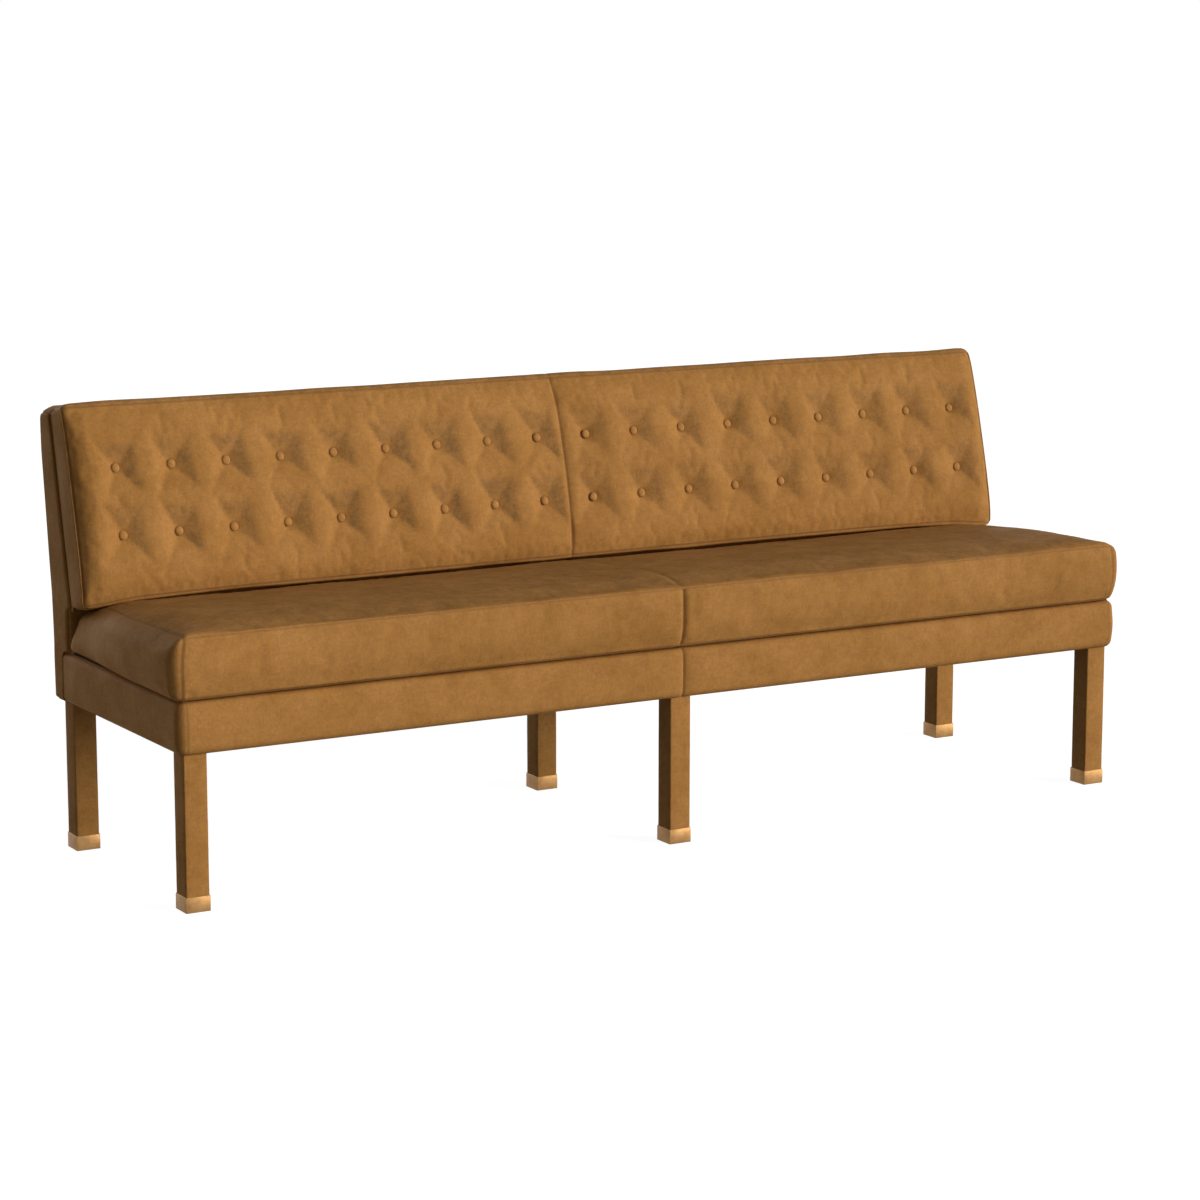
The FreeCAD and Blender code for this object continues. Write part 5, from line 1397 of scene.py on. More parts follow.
def tufted(points):
    """How deep each point of the pad's face is pulled in, and how much painted shade it gets there.

    A button pulls the leather into a shallow pyramid on a skewed four-sided base, whose valleys run
    through the corners of the base, with a small round dimple at the button itself."""
    settings = bpy.context.scene.banquette_pad
    x, up = points[:, 0], local_height(points)
    depth = np.zeros(len(points))
    tuft_shade = np.zeros(len(points))
    chance = np.random.default_rng(TUFT_SEED)
    rim = BUTTON_DIAMETER * BUTTON_HOLD
    for place, height in tuft_places():
        left = place < 0
        near = np.hypot(x - place, up - height) < TUFT_FAR * settings.tuft_reach
        spot = np.stack([x[near] - place, up[near] - height], axis=1)
        share = TUFT_FOLD_SHARES[0 if left else 1] * chance.uniform(*TUFT_SHARE_RANGE)
        base = np.array(TUFT_BASE) * chance.uniform(*TUFT_BASE_RANGE, (4, 2))
        following = np.roll(base, -1, axis=0)
        normals = np.stack([following[:, 1] - base[:, 1], base[:, 0] - following[:, 0]], axis=1)
        offsets = np.sum(normals * base, axis=1)
        facets = np.maximum(spot @ (normals / offsets[:, None]).T, 0)
        gauge = np.sum(facets ** TUFT_CRISPNESS, axis=1) ** (1 / TUFT_CRISPNESS)
        pyramid = np.clip(1 - gauge, 0, 1) ** TUFT_PYRAMID_CURVE
        reach = settings.tuft_reach * chance.uniform(*TUFT_REACH_RANGE)
        dimple = (1 - np.clip((np.hypot(*spot.T) - rim) / (reach - rim), 0, 1)) ** TUFT_DIMPLE_CURVE
        pull = settings.tuft_depth * (share * pyramid + (1 - share) * dimple)
        depth[near] = np.maximum(depth[near], pull)
        # Painted shade on the facets that face away from the lamp, the upper and the right ones
        shaded_share = np.array(TUFT_SHADE)[np.argmax(facets, axis=1)] * ease(pyramid / TUFT_SHADE_REACH)
        shaded_share *= TUFT_SHADE_SIDES[0 if left else 1]
        tuft_shade[near] = np.maximum(tuft_shade[near], shaded_share * chance.uniform(*TUFT_SHADE_RANGE))
    return depth, tuft_shade


def pad_shape(form):
    """Maker of pad points with their tufts, for the fine grid and the coarse one."""

    def shape(grid):
        points = form.points(grid)
        deep, high = grid[:, 1], grid[:, 2]
        to_end = (1 - np.abs(grid[:, 0])) * form.reach()
        to_middle = np.abs(grid[:, 0]) * form.reach()
        beyond = np.abs(points[:, 0]) - form.half
        reach, start, length, by_middle, by_corner = PAD_LIP_REACH
        low = (1 - ease(high * form.high_length() / reach)) * (1 - ease((deep - start) / length))
        points[:, 2] += low * (PAD_LIP_RISE * ease(to_end / by_middle)
                               - PAD_CORNER_DROP * (1 - ease(to_end / by_corner)))
        tuck = ease(beyond / PAD_TUCK_REACH + 1) * ease((deep - 0.5) / 0.5)
        points[:, 0] += PAD_SHIFT - np.sign(grid[:, 0]) * PAD_REAR_TUCK * tuck
        reach, start, length, behind = PAD_REAR_CORNER
        rear_corner = ease(beyond / reach + 1) * ease((high - start) / length) * ease(deep / behind)
        points[:, 2] -= PAD_REAR_DROP * rear_corner
        at_seam, at_middle = PAD_CALM
        calm = (ease(to_end / at_seam) * ease(to_middle / at_middle)
                * ease(np.minimum(high, 1 - high) * form.high_length() / at_seam))
        push = np.where(deep <= 0, tufted(points)[0] * calm, 0)
        points[:, 1] += push * math.cos(form.lean)
        points[:, 2] -= push * math.sin(form.lean)
        return points

    return shape


def place_on_pad(x, height):
    """Where the leather of the pad's face lies, from a place along the bench and a height up the slope."""
    form = pad_form()
    shape = pad_shape(form)
    along = (x - PAD_SHIFT) / form.reach()
    high = 0.5
    for _ in range(PLACING_ROUNDS):
        place = shape(np.array([[along, 0.0, high]]))[0]
        high += (height - local_height(place[None])[0]) / form.high_length()
    return place


def pad_held(grid, points):
    """Points of the pad that its seams, its board and its buttons hold still."""
    return (grid[:, 1] > 0) | (corner_count(grid) > 1) | (to_buttons(points) < BUTTON_DIAMETER * BUTTON_HOLD)


def to_buttons(points):
    """Distance over the pad's face from each point to the nearest button's middle."""
    up = local_height(points)
    nearest = np.full(len(up), 1.0)
    for place, height in tuft_places():
        nearest = np.minimum(nearest, np.hypot(points[:, 0] - place, up - height))
    return nearest


def build_back_pad():
    """The back pad: crowned face inside a self seam, drawn in by two rows of buttons."""
    settings = bpy.context.scene.banquette_pad
    form = pad_form()
    draft = Draft(form, *PAD_GRID)
    shape = pad_shape(form)
    draft.points = shape(draft.grid)
    draft.points += cloth_shift("pad_run", draft, PAD_RUN_STEP, shape, pad_held, PAD_SLACK, settings.swelling)
    along, deep, high = draft.grid.T
    face = deep <= 0
    behind = deep * form.deep_length()
    gap = np.where(face, np.minimum(draft.to_end, draft.to_high), behind)
    to_middle = np.where(deep < 1, draft.to_middle, 1)
    nearest = to_buttons(draft.points)
    still, reach = PAD_BUTTON_FREE
    free = ease(gap / PAD_FREE) * ease(to_middle / PAD_FREE)
    free *= ease((nearest - BUTTON_DIAMETER * still) / reach)
    draft.pushed(np.where(face, waves(draft.points, PAD_WAVES) * free, 0))
    lip = waves(draft.points, PAD_LIP_WAVES) * ease(behind / PAD_LIP_START)
    draft.pushed(np.where(face | (deep > PAD_LIP_END), 0, lip))
    middle = np.where(face, 1, PAD_MIDDLE_SHARE)
    draft.pushed(sewn_groove(gap, *PAD_GROOVE) - settings.seam_depth * middle * seam_dip(to_middle))
    # Painted shade along the seams and the middle seam, and round each button
    shade = np.maximum(PAD_SEAM_SHADE * ridge(gap, SEAM_LINE), ridge(to_middle, SEAM_LINE) * middle)
    under, dark, width = BUTTON_SHADE
    at_button = ridge(np.maximum(nearest - BUTTON_DIAMETER * under, 0), width)
    shade = np.maximum(shade, dark * at_button)
    used, faces = draft.trimmed(draft.faces(flat_side=(1, -1)))
    piece = new_mesh("back_pad_leather", draft.points[used], faces, tan_leather(), shade[used])
    # Painted shade on the tufts' facets that face away from the lamp, and over the pad's top and right end
    rim = np.where((high >= 1) | (along >= 1), PAD_RIM_SHADE, 0)
    shaded_share = np.where(face, PAD_TUFT_SHADE * tufted(draft.points)[1] * free, rim)
    set_layer(piece, "nap_shade", shaded_share[used])
    fit_out(piece, "bench", ("pad_cover", "pad_foam"))
    paths = [(along == -1, 2), (along == 1, 2), (high == 0, 0), (high == 1, 0), (along == 0, 2)]
    lines = [seam_path(draft.grid, draft.points, chosen & (deep == 0), order) for chosen, order in paths]
    sew("pad_seam_stitches", lines, "bench")


def turned_mesh(name, profile, segments):
    """A closed shape turned round the Z axis from a profile of radius and height, poles first and last."""
    rings = [(radius, height) for radius, height in profile if radius > 0]
    angles = np.arange(segments) * 2 * math.pi / segments
    points = [(0, 0, profile[0][1])]
    for radius, height in rings:
        points.extend((radius * math.cos(a), radius * math.sin(a), height) for a in angles)
    points.append((0, 0, profile[-1][1]))
    faces = []
    for k in range(segments):
        after = (k + 1) % segments
        faces.append((0, 1 + after, 1 + k))
        for ring in range(len(rings) - 1):
            a, b = 1 + ring * segments, 1 + (ring + 1) * segments
            faces.append((a + k, a + after, b + after, b + k))
        last = 1 + (len(rings) - 1) * segments
        faces.append((last + k, last + after, len(points) - 1))
    return new_mesh(name, points, faces)


def build_buttons():
    """Two rows of leather-covered buttons, seated in the dimples of the pad."""
    lean = bpy.context.scene.banquette_pad.lean
    profile = [(BUTTON_DIAMETER / 2 * a, BUTTON_HEIGHT * b) for a, b in BUTTON_PROFILE_SHARES]
    pattern = turned_mesh("button_pattern", profile, BUTTON_SEGMENTS)
    tree = row_tree("button_row")
    for row in ("lower", "upper"):
        node = f"buttons_{row}_row"
        line = button_line(*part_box(node))
        seat = place_on_pad(line[BUTTONS_IN_ROW // 4] + PAD_SHIFT, row_height(node))
        start = (line[0] + PAD_SHIFT, seat[1] + BUTTON_SINK * math.cos(lean),
                 seat[2] - BUTTON_SINK * math.sin(lean))
        piece = grown(f"buttons_{row}_leather", tree, {
            "Start": start, "Step": (line[1] - line[0], 0, 0), "Count": BUTTONS_IN_ROW, "Roll": BUTTON_ROLL,
            "Turn": (math.pi / 2 - lean, 0, 0), "Piece": pattern, "Material": button_leather()})
        fit_out(piece, "bench", (node,))
    discard(pattern)


def discard(*pieces):
    """Removes objects that have done their work, with their meshes."""
    for piece in pieces:
        mesh = piece.data
        bpy.data.objects.remove(piece)
        bpy.data.meshes.remove(mesh)


def apron_path():
    """Places, outward directions and run lengths of the apron's outer face, from the left rear round."""
    low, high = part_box("apron_cover")
    corner = APRON_CORNER
    half, front, rear = high.x, low.y, high.y
    side = graded(0, rear - front - corner, *APRON_SIDE_GRID)
    bend = np.linspace(0, math.pi / 2, APRON_BEND_STEPS)[1:-1]
    middle = graded_run([corner - half, 0, half - corner], *APRON_FRONT_GRID)
    rows = [(-half, rear - run, -1, 0, 0) for run in side]
    rows += [(-half + corner, front + corner, -math.cos(a), -math.sin(a), corner) for a in bend]
    rows += [(x, front, 0, -1, 0) for x in middle]
    rows += [(half - corner, front + corner, math.sin(a), -math.cos(a), corner) for a in bend]
    rows += [(half, rear - run, 1, 0, 0) for run in side[::-1]]
    rows = np.array(rows)
    place = rows[:, :2] + rows[:, 2:4] * rows[:, 4:5]
    run = np.concatenate([[0], np.cumsum(np.linalg.norm(np.diff(place, axis=0), axis=1))])
    return place, rows[:, 2:4], run


def apron_profile():
    """Outward shift and height round the apron's section, from its lower hem to its upper one."""
    low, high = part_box("apron_cover")
    roll = APRON_ROLL
    bend = np.linspace(0, math.pi / 2, APRON_ROLL_STEPS)
    base = low.z - APRON_SAG
    lower = [(-APRON_LOWER_HEM, low.z)]
    lower += [(-roll + roll * math.sin(a), base + roll - roll * math.cos(a)) for a in bend]
    upper = [(-roll + roll * math.cos(a), high.z - roll + roll * math.sin(a)) for a in bend]
    upper += [(-shift, high.z) for shift in np.linspace(roll, APRON_UPPER_HEM, APRON_HEM_STEPS)[1:]]
    face = [(0, z) for z in np.linspace(base + roll, high.z - roll, APRON_FACE_STEPS)[1:-1]]
    return np.array(lower + face + upper)


def build_apron():
    """The padded leather apron round the front and the ends of the seat frame."""
    place, outward, run = apron_path()
    profile = apron_profile()
    low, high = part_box("apron_cover")
    middle = run[-1] / 2
    corner_run = (high.y - low.y) - APRON_CORNER + APRON_CORNER * math.pi / 2
    seams = [middle, corner_run, run[-1] - corner_run]
    to_seam = np.abs(run - middle)
    to_corner = np.minimum(np.abs(run - seams[1]), np.abs(run - seams[2]))
    to_end = np.minimum(run, run[-1] - run)
    across, up = len(run), len(profile)
    level = np.clip((profile[:, 1] - low.z) / (high.z - low.z), 0, 1)
    swell = APRON_SWELL * np.sin(math.pi * level) ** BELLY_CURVE
    at_seam, seam_reach, end_reach = APRON_HOLD
    hold = (at_seam + (1 - at_seam) * ease(to_seam / seam_reach)) * ease(to_end / end_reach)
    groove = -APRON_GROOVES[0] * seam_dip(to_seam) - APRON_GROOVES[1] * ridge(to_corner, SEAM_LINE)
    on_face = ease((profile[:, 0] + APRON_ROLL * APRON_FACE_SHARE) / APRON_ROLL)
    spread = (np.ones((across, 1)) * profile[None, :, 0] + hold[:, None] * swell[None, :]
              + groove[:, None] * on_face[None, :])
    points = np.zeros((across, up, 3))
    points[..., :2] = place[:, None, :] + outward[:, None, :] * spread[..., None]
    points[..., 2] = profile[None, :, 1]
    flat = points.reshape(-1, 3)
    limit = np.maximum(-spread - APRON_CORNER, 0).reshape(-1)
    half, front = high.x - APRON_CORNER, low.y + APRON_CORNER
    flat[:, 0] = np.where(limit > 0, np.clip(flat[:, 0], -half + limit, half - limit), flat[:, 0])
    flat[:, 1] = np.where(limit > 0, np.maximum(flat[:, 1], front + limit), flat[:, 1])
    uneven = waves(flat, APRON_WAVES).reshape(across, up)
    free = ease(to_seam / APRON_FREE) * ease(to_end / APRON_FREE)
    free = free[:, None] * np.sin(math.pi * level)[None, :]
    flat[:, :2] += (outward[:, None, :] * (uneven * free)[..., None]).reshape(-1, 2)
    # Painted shade along the middle seam and the corner seams
    lines = np.maximum(ridge(to_seam, SEAM_LINE), APRON_CORNER_SHADE * ridge(to_corner, SEAM_LINE))
    shade = (lines[:, None] * on_face[None, :]).reshape(-1)
    piece = new_mesh("apron_leather", flat, grid_quads((across, up)), tan_leather(), shade)
    thicken(piece, LEATHER)
    fit_out(piece, "bench", ("apron_cover", "apron_wadding"))
    face_rows = np.flatnonzero(on_face > 0.9)
    lines = [points[np.argmin(np.abs(run - seam)), face_rows] for seam in seams]
    sew("apron_seam_stitches", lines, "bench")


def thicken(piece, wall):
    """Gives a sheet its thickness towards the inside, as a plain mesh without slivers."""
    work = bmesh.new()
    work.from_mesh(piece.data)
    bmesh.ops.remove_doubles(work, verts=work.verts, dist=MERGE_GAP)
    bmesh.ops.dissolve_degenerate(work, edges=work.edges, dist=SLIVER_GAP)
    work.to_mesh(piece.data)
    work.free()
    solid = piece.modifiers.new("Leather", "SOLIDIFY")
    solid.thickness = wall
    solid.offset = -1
    bake_modifiers(piece)


def bake_modifiers(piece, keep_layers=True):
    """Turns a piece with its modifiers into a plain smooth mesh."""
    depsgraph = bpy.context.evaluated_depsgraph_get()
    result = bpy.data.meshes.new_from_object(piece.evaluated_get(depsgraph), depsgraph=depsgraph,
                                             preserve_all_data_layers=keep_layers)
    old = piece.data
    piece.modifiers.clear()
    piece.data = result
    bpy.data.meshes.remove(old)
    result.shade_smooth()


def build_outer_back():
    """The leather cover of the back frame: rear, ends and edges, open in front behind the pad."""
    low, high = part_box("outer_back_cover")
    size = high - low

    def place(deep, up, crown):
        return low.y + deep * size.y, low.z + up * size.z, crown

    form = PaddedForm(Outline(OUTER_BACK_OUTLINE_SHARES, place, smooth=False), high.x, OUTER_BACK_ROLL,
                      math.pi / 4, 0.0, 0.0, (1, 1), (1, 1), 1.0)
    draft = Draft(form, *OUTER_BACK_GRID)
    by_end, by_top, start = OUTER_BACK_CORNER_REACH
    corner = ease((np.abs(draft.points[:, 0]) - high.x) / by_end + 1)
    corner *= ease((draft.points[:, 2] - high.z) / by_top + start)
    draft.points[:, 2] -= OUTER_BACK_CORNER_DROP * corner
    along, deep, up = draft.grid.T
    rear = deep >= 1
    gap = draft.edge_gap()
    free = ease(gap / OUTER_BACK_FREE) * ease(draft.to_middle / OUTER_BACK_FREE)
    at_edge, at_middle = REAR_SWELL_REACH
    swell = np.where(rear, REAR_SWELL * ease(gap / at_edge), 0) * ease(draft.to_middle / at_middle)
    draft.pushed((waves(draft.points, OUTER_BACK_WAVES) + OUTER_BACK_PUFF) * free + swell)
    depth, width = REAR_HOLLOW
    draft.pushed(sewn_groove(gap, *OUTER_BACK_GROOVE) - depth * ridge(draft.to_middle, width) * rear
                 + sewn_groove(draft.to_middle, *REAR_GROOVE) * rear)
    # Painted shade along the edge seams and down the middle of the rear
    shade = np.maximum(ridge(gap, REAR_SHADE_LINES[0]), ridge(draft.to_middle, REAR_SHADE_LINES[1]) * rear)
    front = draft.sides[1, 0]
    centre_x = np.abs(draft.points[front].mean(axis=1)[:, 0])
    centre_up = draft.grid[front, 2].mean(axis=1)
    window = ((centre_x < high.x - OUTER_BACK_FLANGE) & (centre_up > OUTER_BACK_WINDOW_SHARES[0])
              & (centre_up < OUTER_BACK_WINDOW_SHARES[1]))
    faces = [quads for side, quads in draft.sides.items() if side != (1, 0)] + [front[~window]]
    used, kept = draft.trimmed(np.concatenate(faces).tolist())
    piece = new_mesh("outer_back_leather", draft.points[used], kept, tan_leather(), shade[used])
    thicken(piece, LEATHER)
    fit_out(piece, "bench", ("outer_back_cover", "outer_back_wadding"))
    paths = [(along == -1, 2), (along == 1, 2), (along == 0, 2), (up == 0, 0), (up == 1, 0)]
    lines = [seam_path(draft.grid, draft.points, chosen & (deep == 1), order) for chosen, order in paths]
    sew("outer_back_stitches", lines, "bench")


def build_leg_sleeves():
    """Leather sleeves on the six legs, each sewn up the side that faces the wall."""
    tree = sleeve_tree()
    lines = []
    for row, seed in zip(ROWS, SLEEVE_ROW_SEEDS):
        for k, side in enumerate(SIDES):
            low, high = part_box(f"leg_wrap_{row}_{side}")
            middle = (low + high) / 2
            piece = grown(f"leg_sleeve_{row}_{side}", tree, {
                "Foot": (middle.x, middle.y, low.z), "Height": high.z - low.z,
                "Side": high.x - low.x + SLEEVE_EASE, "Seed": SLEEVE_SEED_STEP * k + seed,
                "Material": tan_leather()})
            thicken(piece, LEATHER)
            fit_out(piece, "bench", (f"leg_wrap_{row}_{side}",))
            rise = np.linspace(low.z + LEG_SEAM_ENDS[0], high.z - LEG_SEAM_ENDS[1], LEG_SEAM_POINTS)
            seam_y = high.y + SLEEVE_EASE / 2 + LEG_SEAM_LIFT
            lines.append([(middle.x + LEG_SEAM_SHIFT, seam_y, z) for z in rise])
    sew("leg_seam_stitches", lines, "bench")


def brass_cap(low, high):
    """Bmesh work of one cap: an open box with softly bevelled outer edges."""
    size, centre = high - low + Vector((CAP_EASE, CAP_EASE, 0)), (low + high) / 2

    def at_corner(vert):
        return all(abs(abs(vert.co[k] - centre[k]) - size[k] / 2) < CAP_MATCH for k in (0, 1))

    def on_rim(edge):
        return all(abs(vert.co.z - high.z) < CAP_MATCH for vert in edge.verts)

    work = bmesh.new()
    bmesh.ops.create_cube(work, size=1)
    for vert in work.verts:
        vert.co = centre + Vector([vert.co[k] * size[k] for k in range(3)])
    top = next(face for face in work.faces if face.normal.z > 0.9)
    bmesh.ops.inset_region(work, faces=[top], thickness=CAP_WALL)
    sunk = bmesh.ops.extrude_face_region(work, geom=[top])["geom"]
    floor = [item for item in sunk if isinstance(item, bmesh.types.BMVert)]
    bmesh.ops.translate(work, verts=floor, vec=(0, 0, CAP_FLOOR - size.z))
    bmesh.ops.delete(work, geom=[top], context="FACES_ONLY")
    outer = [edge for edge in work.edges
             if all(map(at_corner, edge.verts)) or on_rim(edge) and any(map(at_corner, edge.verts))]
    bmesh.ops.bevel(work, geom=outer, offset=CAP_BEVEL, segments=3, affect="EDGES", profile=0.5)
    bmesh.ops.recalc_face_normals(work, faces=work.faces)
    return work


def build_leg_caps():
    """Brass caps, one round the foot of each leg."""
    for row in ROWS:
        for side in SIDES:
            node = f"leg_cap_{row}_{side}"
            mesh = worked(f"brass_cap_{row}_{side}", brass_cap(*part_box(node)))
            mesh.shade_smooth()
            mesh.set_sharp_from_angle(angle=CAP_SHARP_ANGLE)
            mesh.materials.append(brushed_brass())
            fit_out(linked(mesh.name, mesh), "bench", (node,))


def sheet_mesh(name, across, back, height, material, wall, holes=()):
    """A thin cloth on grid lines, its height given for each place, with square holes."""
    x, y = np.meshgrid(across, back, indexing="ij")
    points = np.stack([x, y, height(x, y)], axis=-1).reshape(-1, 3)
    quads = grid_quads(x.shape)
    middle = points[quads].mean(axis=1)
    kept = np.ones(len(quads), bool)
    for left, right, front, rear in holes:
        within = (middle[:, 0] > left) & (middle[:, 0] < right)
        kept &= ~(within & (middle[:, 1] > front) & (middle[:, 1] < rear))
    used, place = np.unique(quads[kept], return_inverse=True)
    piece = new_mesh(name, points[used], place.reshape(-1, 4), material)
    thicken(piece, wall)
    return piece


def inside_share(x, y, low, high, rim, reach):
    """0 in the rim of a cloth, and 1 from reach inside it."""
    share = 1
    for place, first, last in ((x, low.x, high.x), (y, low.y, high.y)):
        share = share * ease((place - first - rim) / reach) * ease((last - rim - place) / reach)
    return share


def build_straps():
    """Webbing straps under the deck cloth; gives the place of the first one and the step to the next."""
    low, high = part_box("seat_webbing")
    half_width = STRAP_WIDTH / 2
    rib, pick, weave = STRAP_WEAVE

    def height(x, y):
        ribs = weave * np.sin(x * 2 * math.pi / rib) * np.sin(y * 2 * math.pi / pick)
        return ribs + high.z - STRAP_SKIN

    pattern = sheet_mesh("strap_pattern", np.linspace(-half_width, half_width, STRAP_GRID[0]),
                         np.linspace(low.y, high.y, STRAP_GRID[1]), height, None,
                         high.z - low.z - 2 * STRAP_SKIN)
    step = (high.x - low.x - STRAP_WIDTH) / (STRAPS - 1)
    straps = grown("webbing_straps", row_tree("strap_row"), {
        "Start": (low.x + half_width, 0, 0), "Step": (step, 0, 0), "Count": STRAPS, "Piece": pattern,
        "Material": jute_webbing()})
    fit_out(straps, "bench", ("seat_webbing",))
    discard(pattern)
    return -(STRAPS - 1) / 2 * step, step


def build_seat_deck():
    """Webbing straps and the cloth over them, seen when the cushion is pulled forward."""
    first, step = build_straps()
    low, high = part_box("deck_cloth")

    def height(x, y):
        to_strap = np.abs((x - first + step / 2) % step - step / 2)
        sag = ease((to_strap - STRAP_WIDTH / 2 + DECK_FOLD / 2) / DECK_FOLD)
        noise = cloth_noise(x, y, *DECK_NOISE)
        inside = inside_share(x, y, low, high, 0, DECK_RIM)
        return high.z - (DECK_SAG * sag + DECK_UNEVEN * (1 + noise)) * inside

    across, back = (np.linspace(low[k], high[k], DECK_GRID[k]) for k in (0, 1))
    cloth = sheet_mesh("deck_cloth_sheet", across, back, height, deck_twill(), CLOTH_WALL)
    fit_out(cloth, "bench", ("deck_cloth",))
    left, right, front = low.x + STAPLE_INSET, high.x - STAPLE_INSET, low.y + STAPLE_INSET
    start, end = low.y + DECK_STAPLE_ENDS[0], high.y - DECK_STAPLE_ENDS[1]
    rows = [((left, front, high.z), (right, front, high.z), 0)]
    rows += [((x, start, high.z), (x, end, high.z), 1) for x in (left, right)]
    staple("deck_staples", rows, 1)


def staple(name, rows, facing):
    """Rows of staples, from a first place to a last one, along or across the bench, facing up or down."""
    wire = STAPLE_WIRE / 2
    half = STAPLE_WIDTH / 2
    work = bmesh.new()
    crown, leg = (-facing * wire * sink for sink in STAPLE_SINK)
    add_block(work, (0, 0, crown), (half, wire, wire))
    for side in (1, -1):
        add_block(work, (side * (half - wire), 0, leg), (wire, wire, wire * STAPLE_LEG))
    bmesh.ops.bevel(work, geom=list(work.edges), offset=wire * STAPLE_BEVEL, segments=1, affect="EDGES")
    pattern = linked("staple_pattern", worked("staple_pattern", work))
    tree = row_tree("staple_row")
    joined = bmesh.new()
    for first, last, turned in rows:
        run = Vector(last) - Vector(first)
        count = max(2, round(run.length / STAPLE_PITCH))
        part = grown("staple_part", tree, {
            "Start": tuple(first), "Step": tuple(run / count), "Count": count + 1, "Roll": STAPLE_ROLL,
            "Turn": (0, 0, math.pi / 2 * turned), "Piece": pattern, "Material": plain_steel()})
        joined.from_mesh(part.data)
        discard(part)
    discard(pattern)
    mesh = worked(name, joined)
    mesh.materials.append(plain_steel())
    fit_out(linked(name, mesh), "bench")


def build_dust_cloth():
    """The black cloth under the seat, cut out round the legs and stapled to the rails."""
    low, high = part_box("dust_cloth")
    holes = []
    stops_x = {low.x, high.x}
    stops_y = {low.y, high.y}
    for row in ROWS:
        for side in SIDES:
            leg_low, leg_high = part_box(f"leg_wrap_{row}_{side}")
            hole = (leg_low.x - DUST_PLAY, leg_high.x + DUST_PLAY,
                    leg_low.y - DUST_PLAY, leg_high.y + DUST_PLAY)
            holes.append(hole)
            stops_x |= {x for x in hole[:2] if low.x < x < high.x}
            stops_y |= {y for y in hole[2:] if low.y < y < high.y}

    def height(x, y):
        legs = np.ones_like(x)
        for left, right, front, rear in holes:
            beside = np.maximum(np.maximum(left - x, x - right), 0)
            before = np.maximum(np.maximum(front - y, y - rear), 0)
            legs = np.minimum(legs, ease(np.hypot(beside, before) / DUST_LEG_REACH))
        sag = DUST_SAG * (1 + DUST_UNEVEN * cloth_noise(x, y, *DUST_NOISE))
        return high.z - sag * inside_share(x, y, low, high, *DUST_RIM) * legs

    cloth = sheet_mesh("dust_cloth_sheet", graded_run(sorted(stops_x), *DUST_GRID),
                       graded_run(sorted(stops_y), *DUST_GRID), height, dust_cambric(), CLOTH_WALL, holes)
    fit_out(cloth, "bench", ("dust_cloth",))
    level = high.z - CLOTH_WALL
    rows = []
    left, right = low.x + STAPLE_INSET, high.x - STAPLE_INSET
    front, rear = low.y + STAPLE_INSET, high.y - STAPLE_INSET
    for leg in (-LEG_SPACING, 0):
        first, last = leg + DUST_STAPLE_GAP, leg + LEG_SPACING - DUST_STAPLE_GAP
        rows += [((first, y, level), (last, y, level), 0) for y in (front, rear)]
    start, end = low.y + DUST_STAPLE_ENDS[0], high.y - DUST_STAPLE_ENDS[1]
    rows += [((x, start, level), (x, end, level), 1) for x in (left, right)]
    staple("dust_staples", rows, -1)


def build_zip():
    """The zip in the rear of the cushion cover: tapes, two rows of teeth and a slider with its pull."""
    low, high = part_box("cushion_zip")
    face, middle = high.y, (low.z + high.z) / 2
    rise = np.array(ZIP_TAPE_SHARES) * (high.z - low.z) / 2
    x, up = np.meshgrid(np.linspace(low.x, high.x, ZIP_TAPE_POINTS), rise, indexing="ij")
    bow = ZIP_BOW[0] * np.sin(x * 2 * math.pi / ZIP_BOW[1]) * (np.abs(up) < ZIP_BOW[2])
    points = np.stack([x, face + ZIP_TAPE_LIFT + bow, middle + up], axis=-1).reshape(-1, 3)
    tape = new_mesh("zip_tape", points, grid_quads(x.shape)[:, (0, 3, 2, 1)], tape_weave())
    thicken(tape, ZIP_TAPE_WALL)
    fit_out(tape, "seat_cushion", ("cushion_zip",))
    tooth = box_piece("tooth_pattern", (0, 0, 0), *ZIP_TOOTH)
    for k, row in enumerate(("lower", "upper")):
        first = low.x + ZIP_MARGIN + k * ZIP_PITCH / 2
        height = middle + (2 * k - 1) * ZIP_TEETH_GAP
        teeth = grown(f"zip_teeth_{row}", row_tree("tooth_row"), {
            "Start": (first, face + ZIP_TEETH_LIFT, height), "Step": (ZIP_PITCH, 0, 0), "Piece": tooth,
            "Count": int((high.x - low.x - 2 * ZIP_MARGIN) / ZIP_PITCH), "Material": zip_metal()})
        fit_out(teeth, "seat_cushion")
    discard(tooth)
    for name, back, lift, half_sizes, bevel in ZIP_FITTINGS:
        piece = box_piece(name, (high.x - back, face + lift, middle), half_sizes, bevel)
        piece.data.materials.append(zip_metal())
        fit_out(piece, "seat_cushion")


def box_piece(name, centre, half_sizes, bevel):
    """A small block with bevelled edges."""
    work = bmesh.new()
    add_block(work, centre, half_sizes)
    bmesh.ops.bevel(work, geom=list(work.edges), offset=bevel, segments=1, affect="EDGES")
    return linked(name, worked(name, work))


def finish_frame():
    """Materials of the wooden frame, the fixings and what else the covers hide."""
    finishes = {
        "tan_leather": tan_leather, "cap_brass": brushed_brass, "frame_timber": beech_timber,
        "board_timber": birch_board, "webbing": jute_webbing, "deck_cloth": deck_twill,
        "dust_cloth": dust_cambric, "wadding": polyester_wadding, "foam": polyester_wadding,
        "zip": tape_weave, "twine": waxed_thread, "washer_steel": plain_steel, "fixing_steel": plain_steel,
    }
    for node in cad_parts.values():
        for place in node.material_slots:
            place.material = finishes[place.material.name.split(".")[0]]()


# Stage

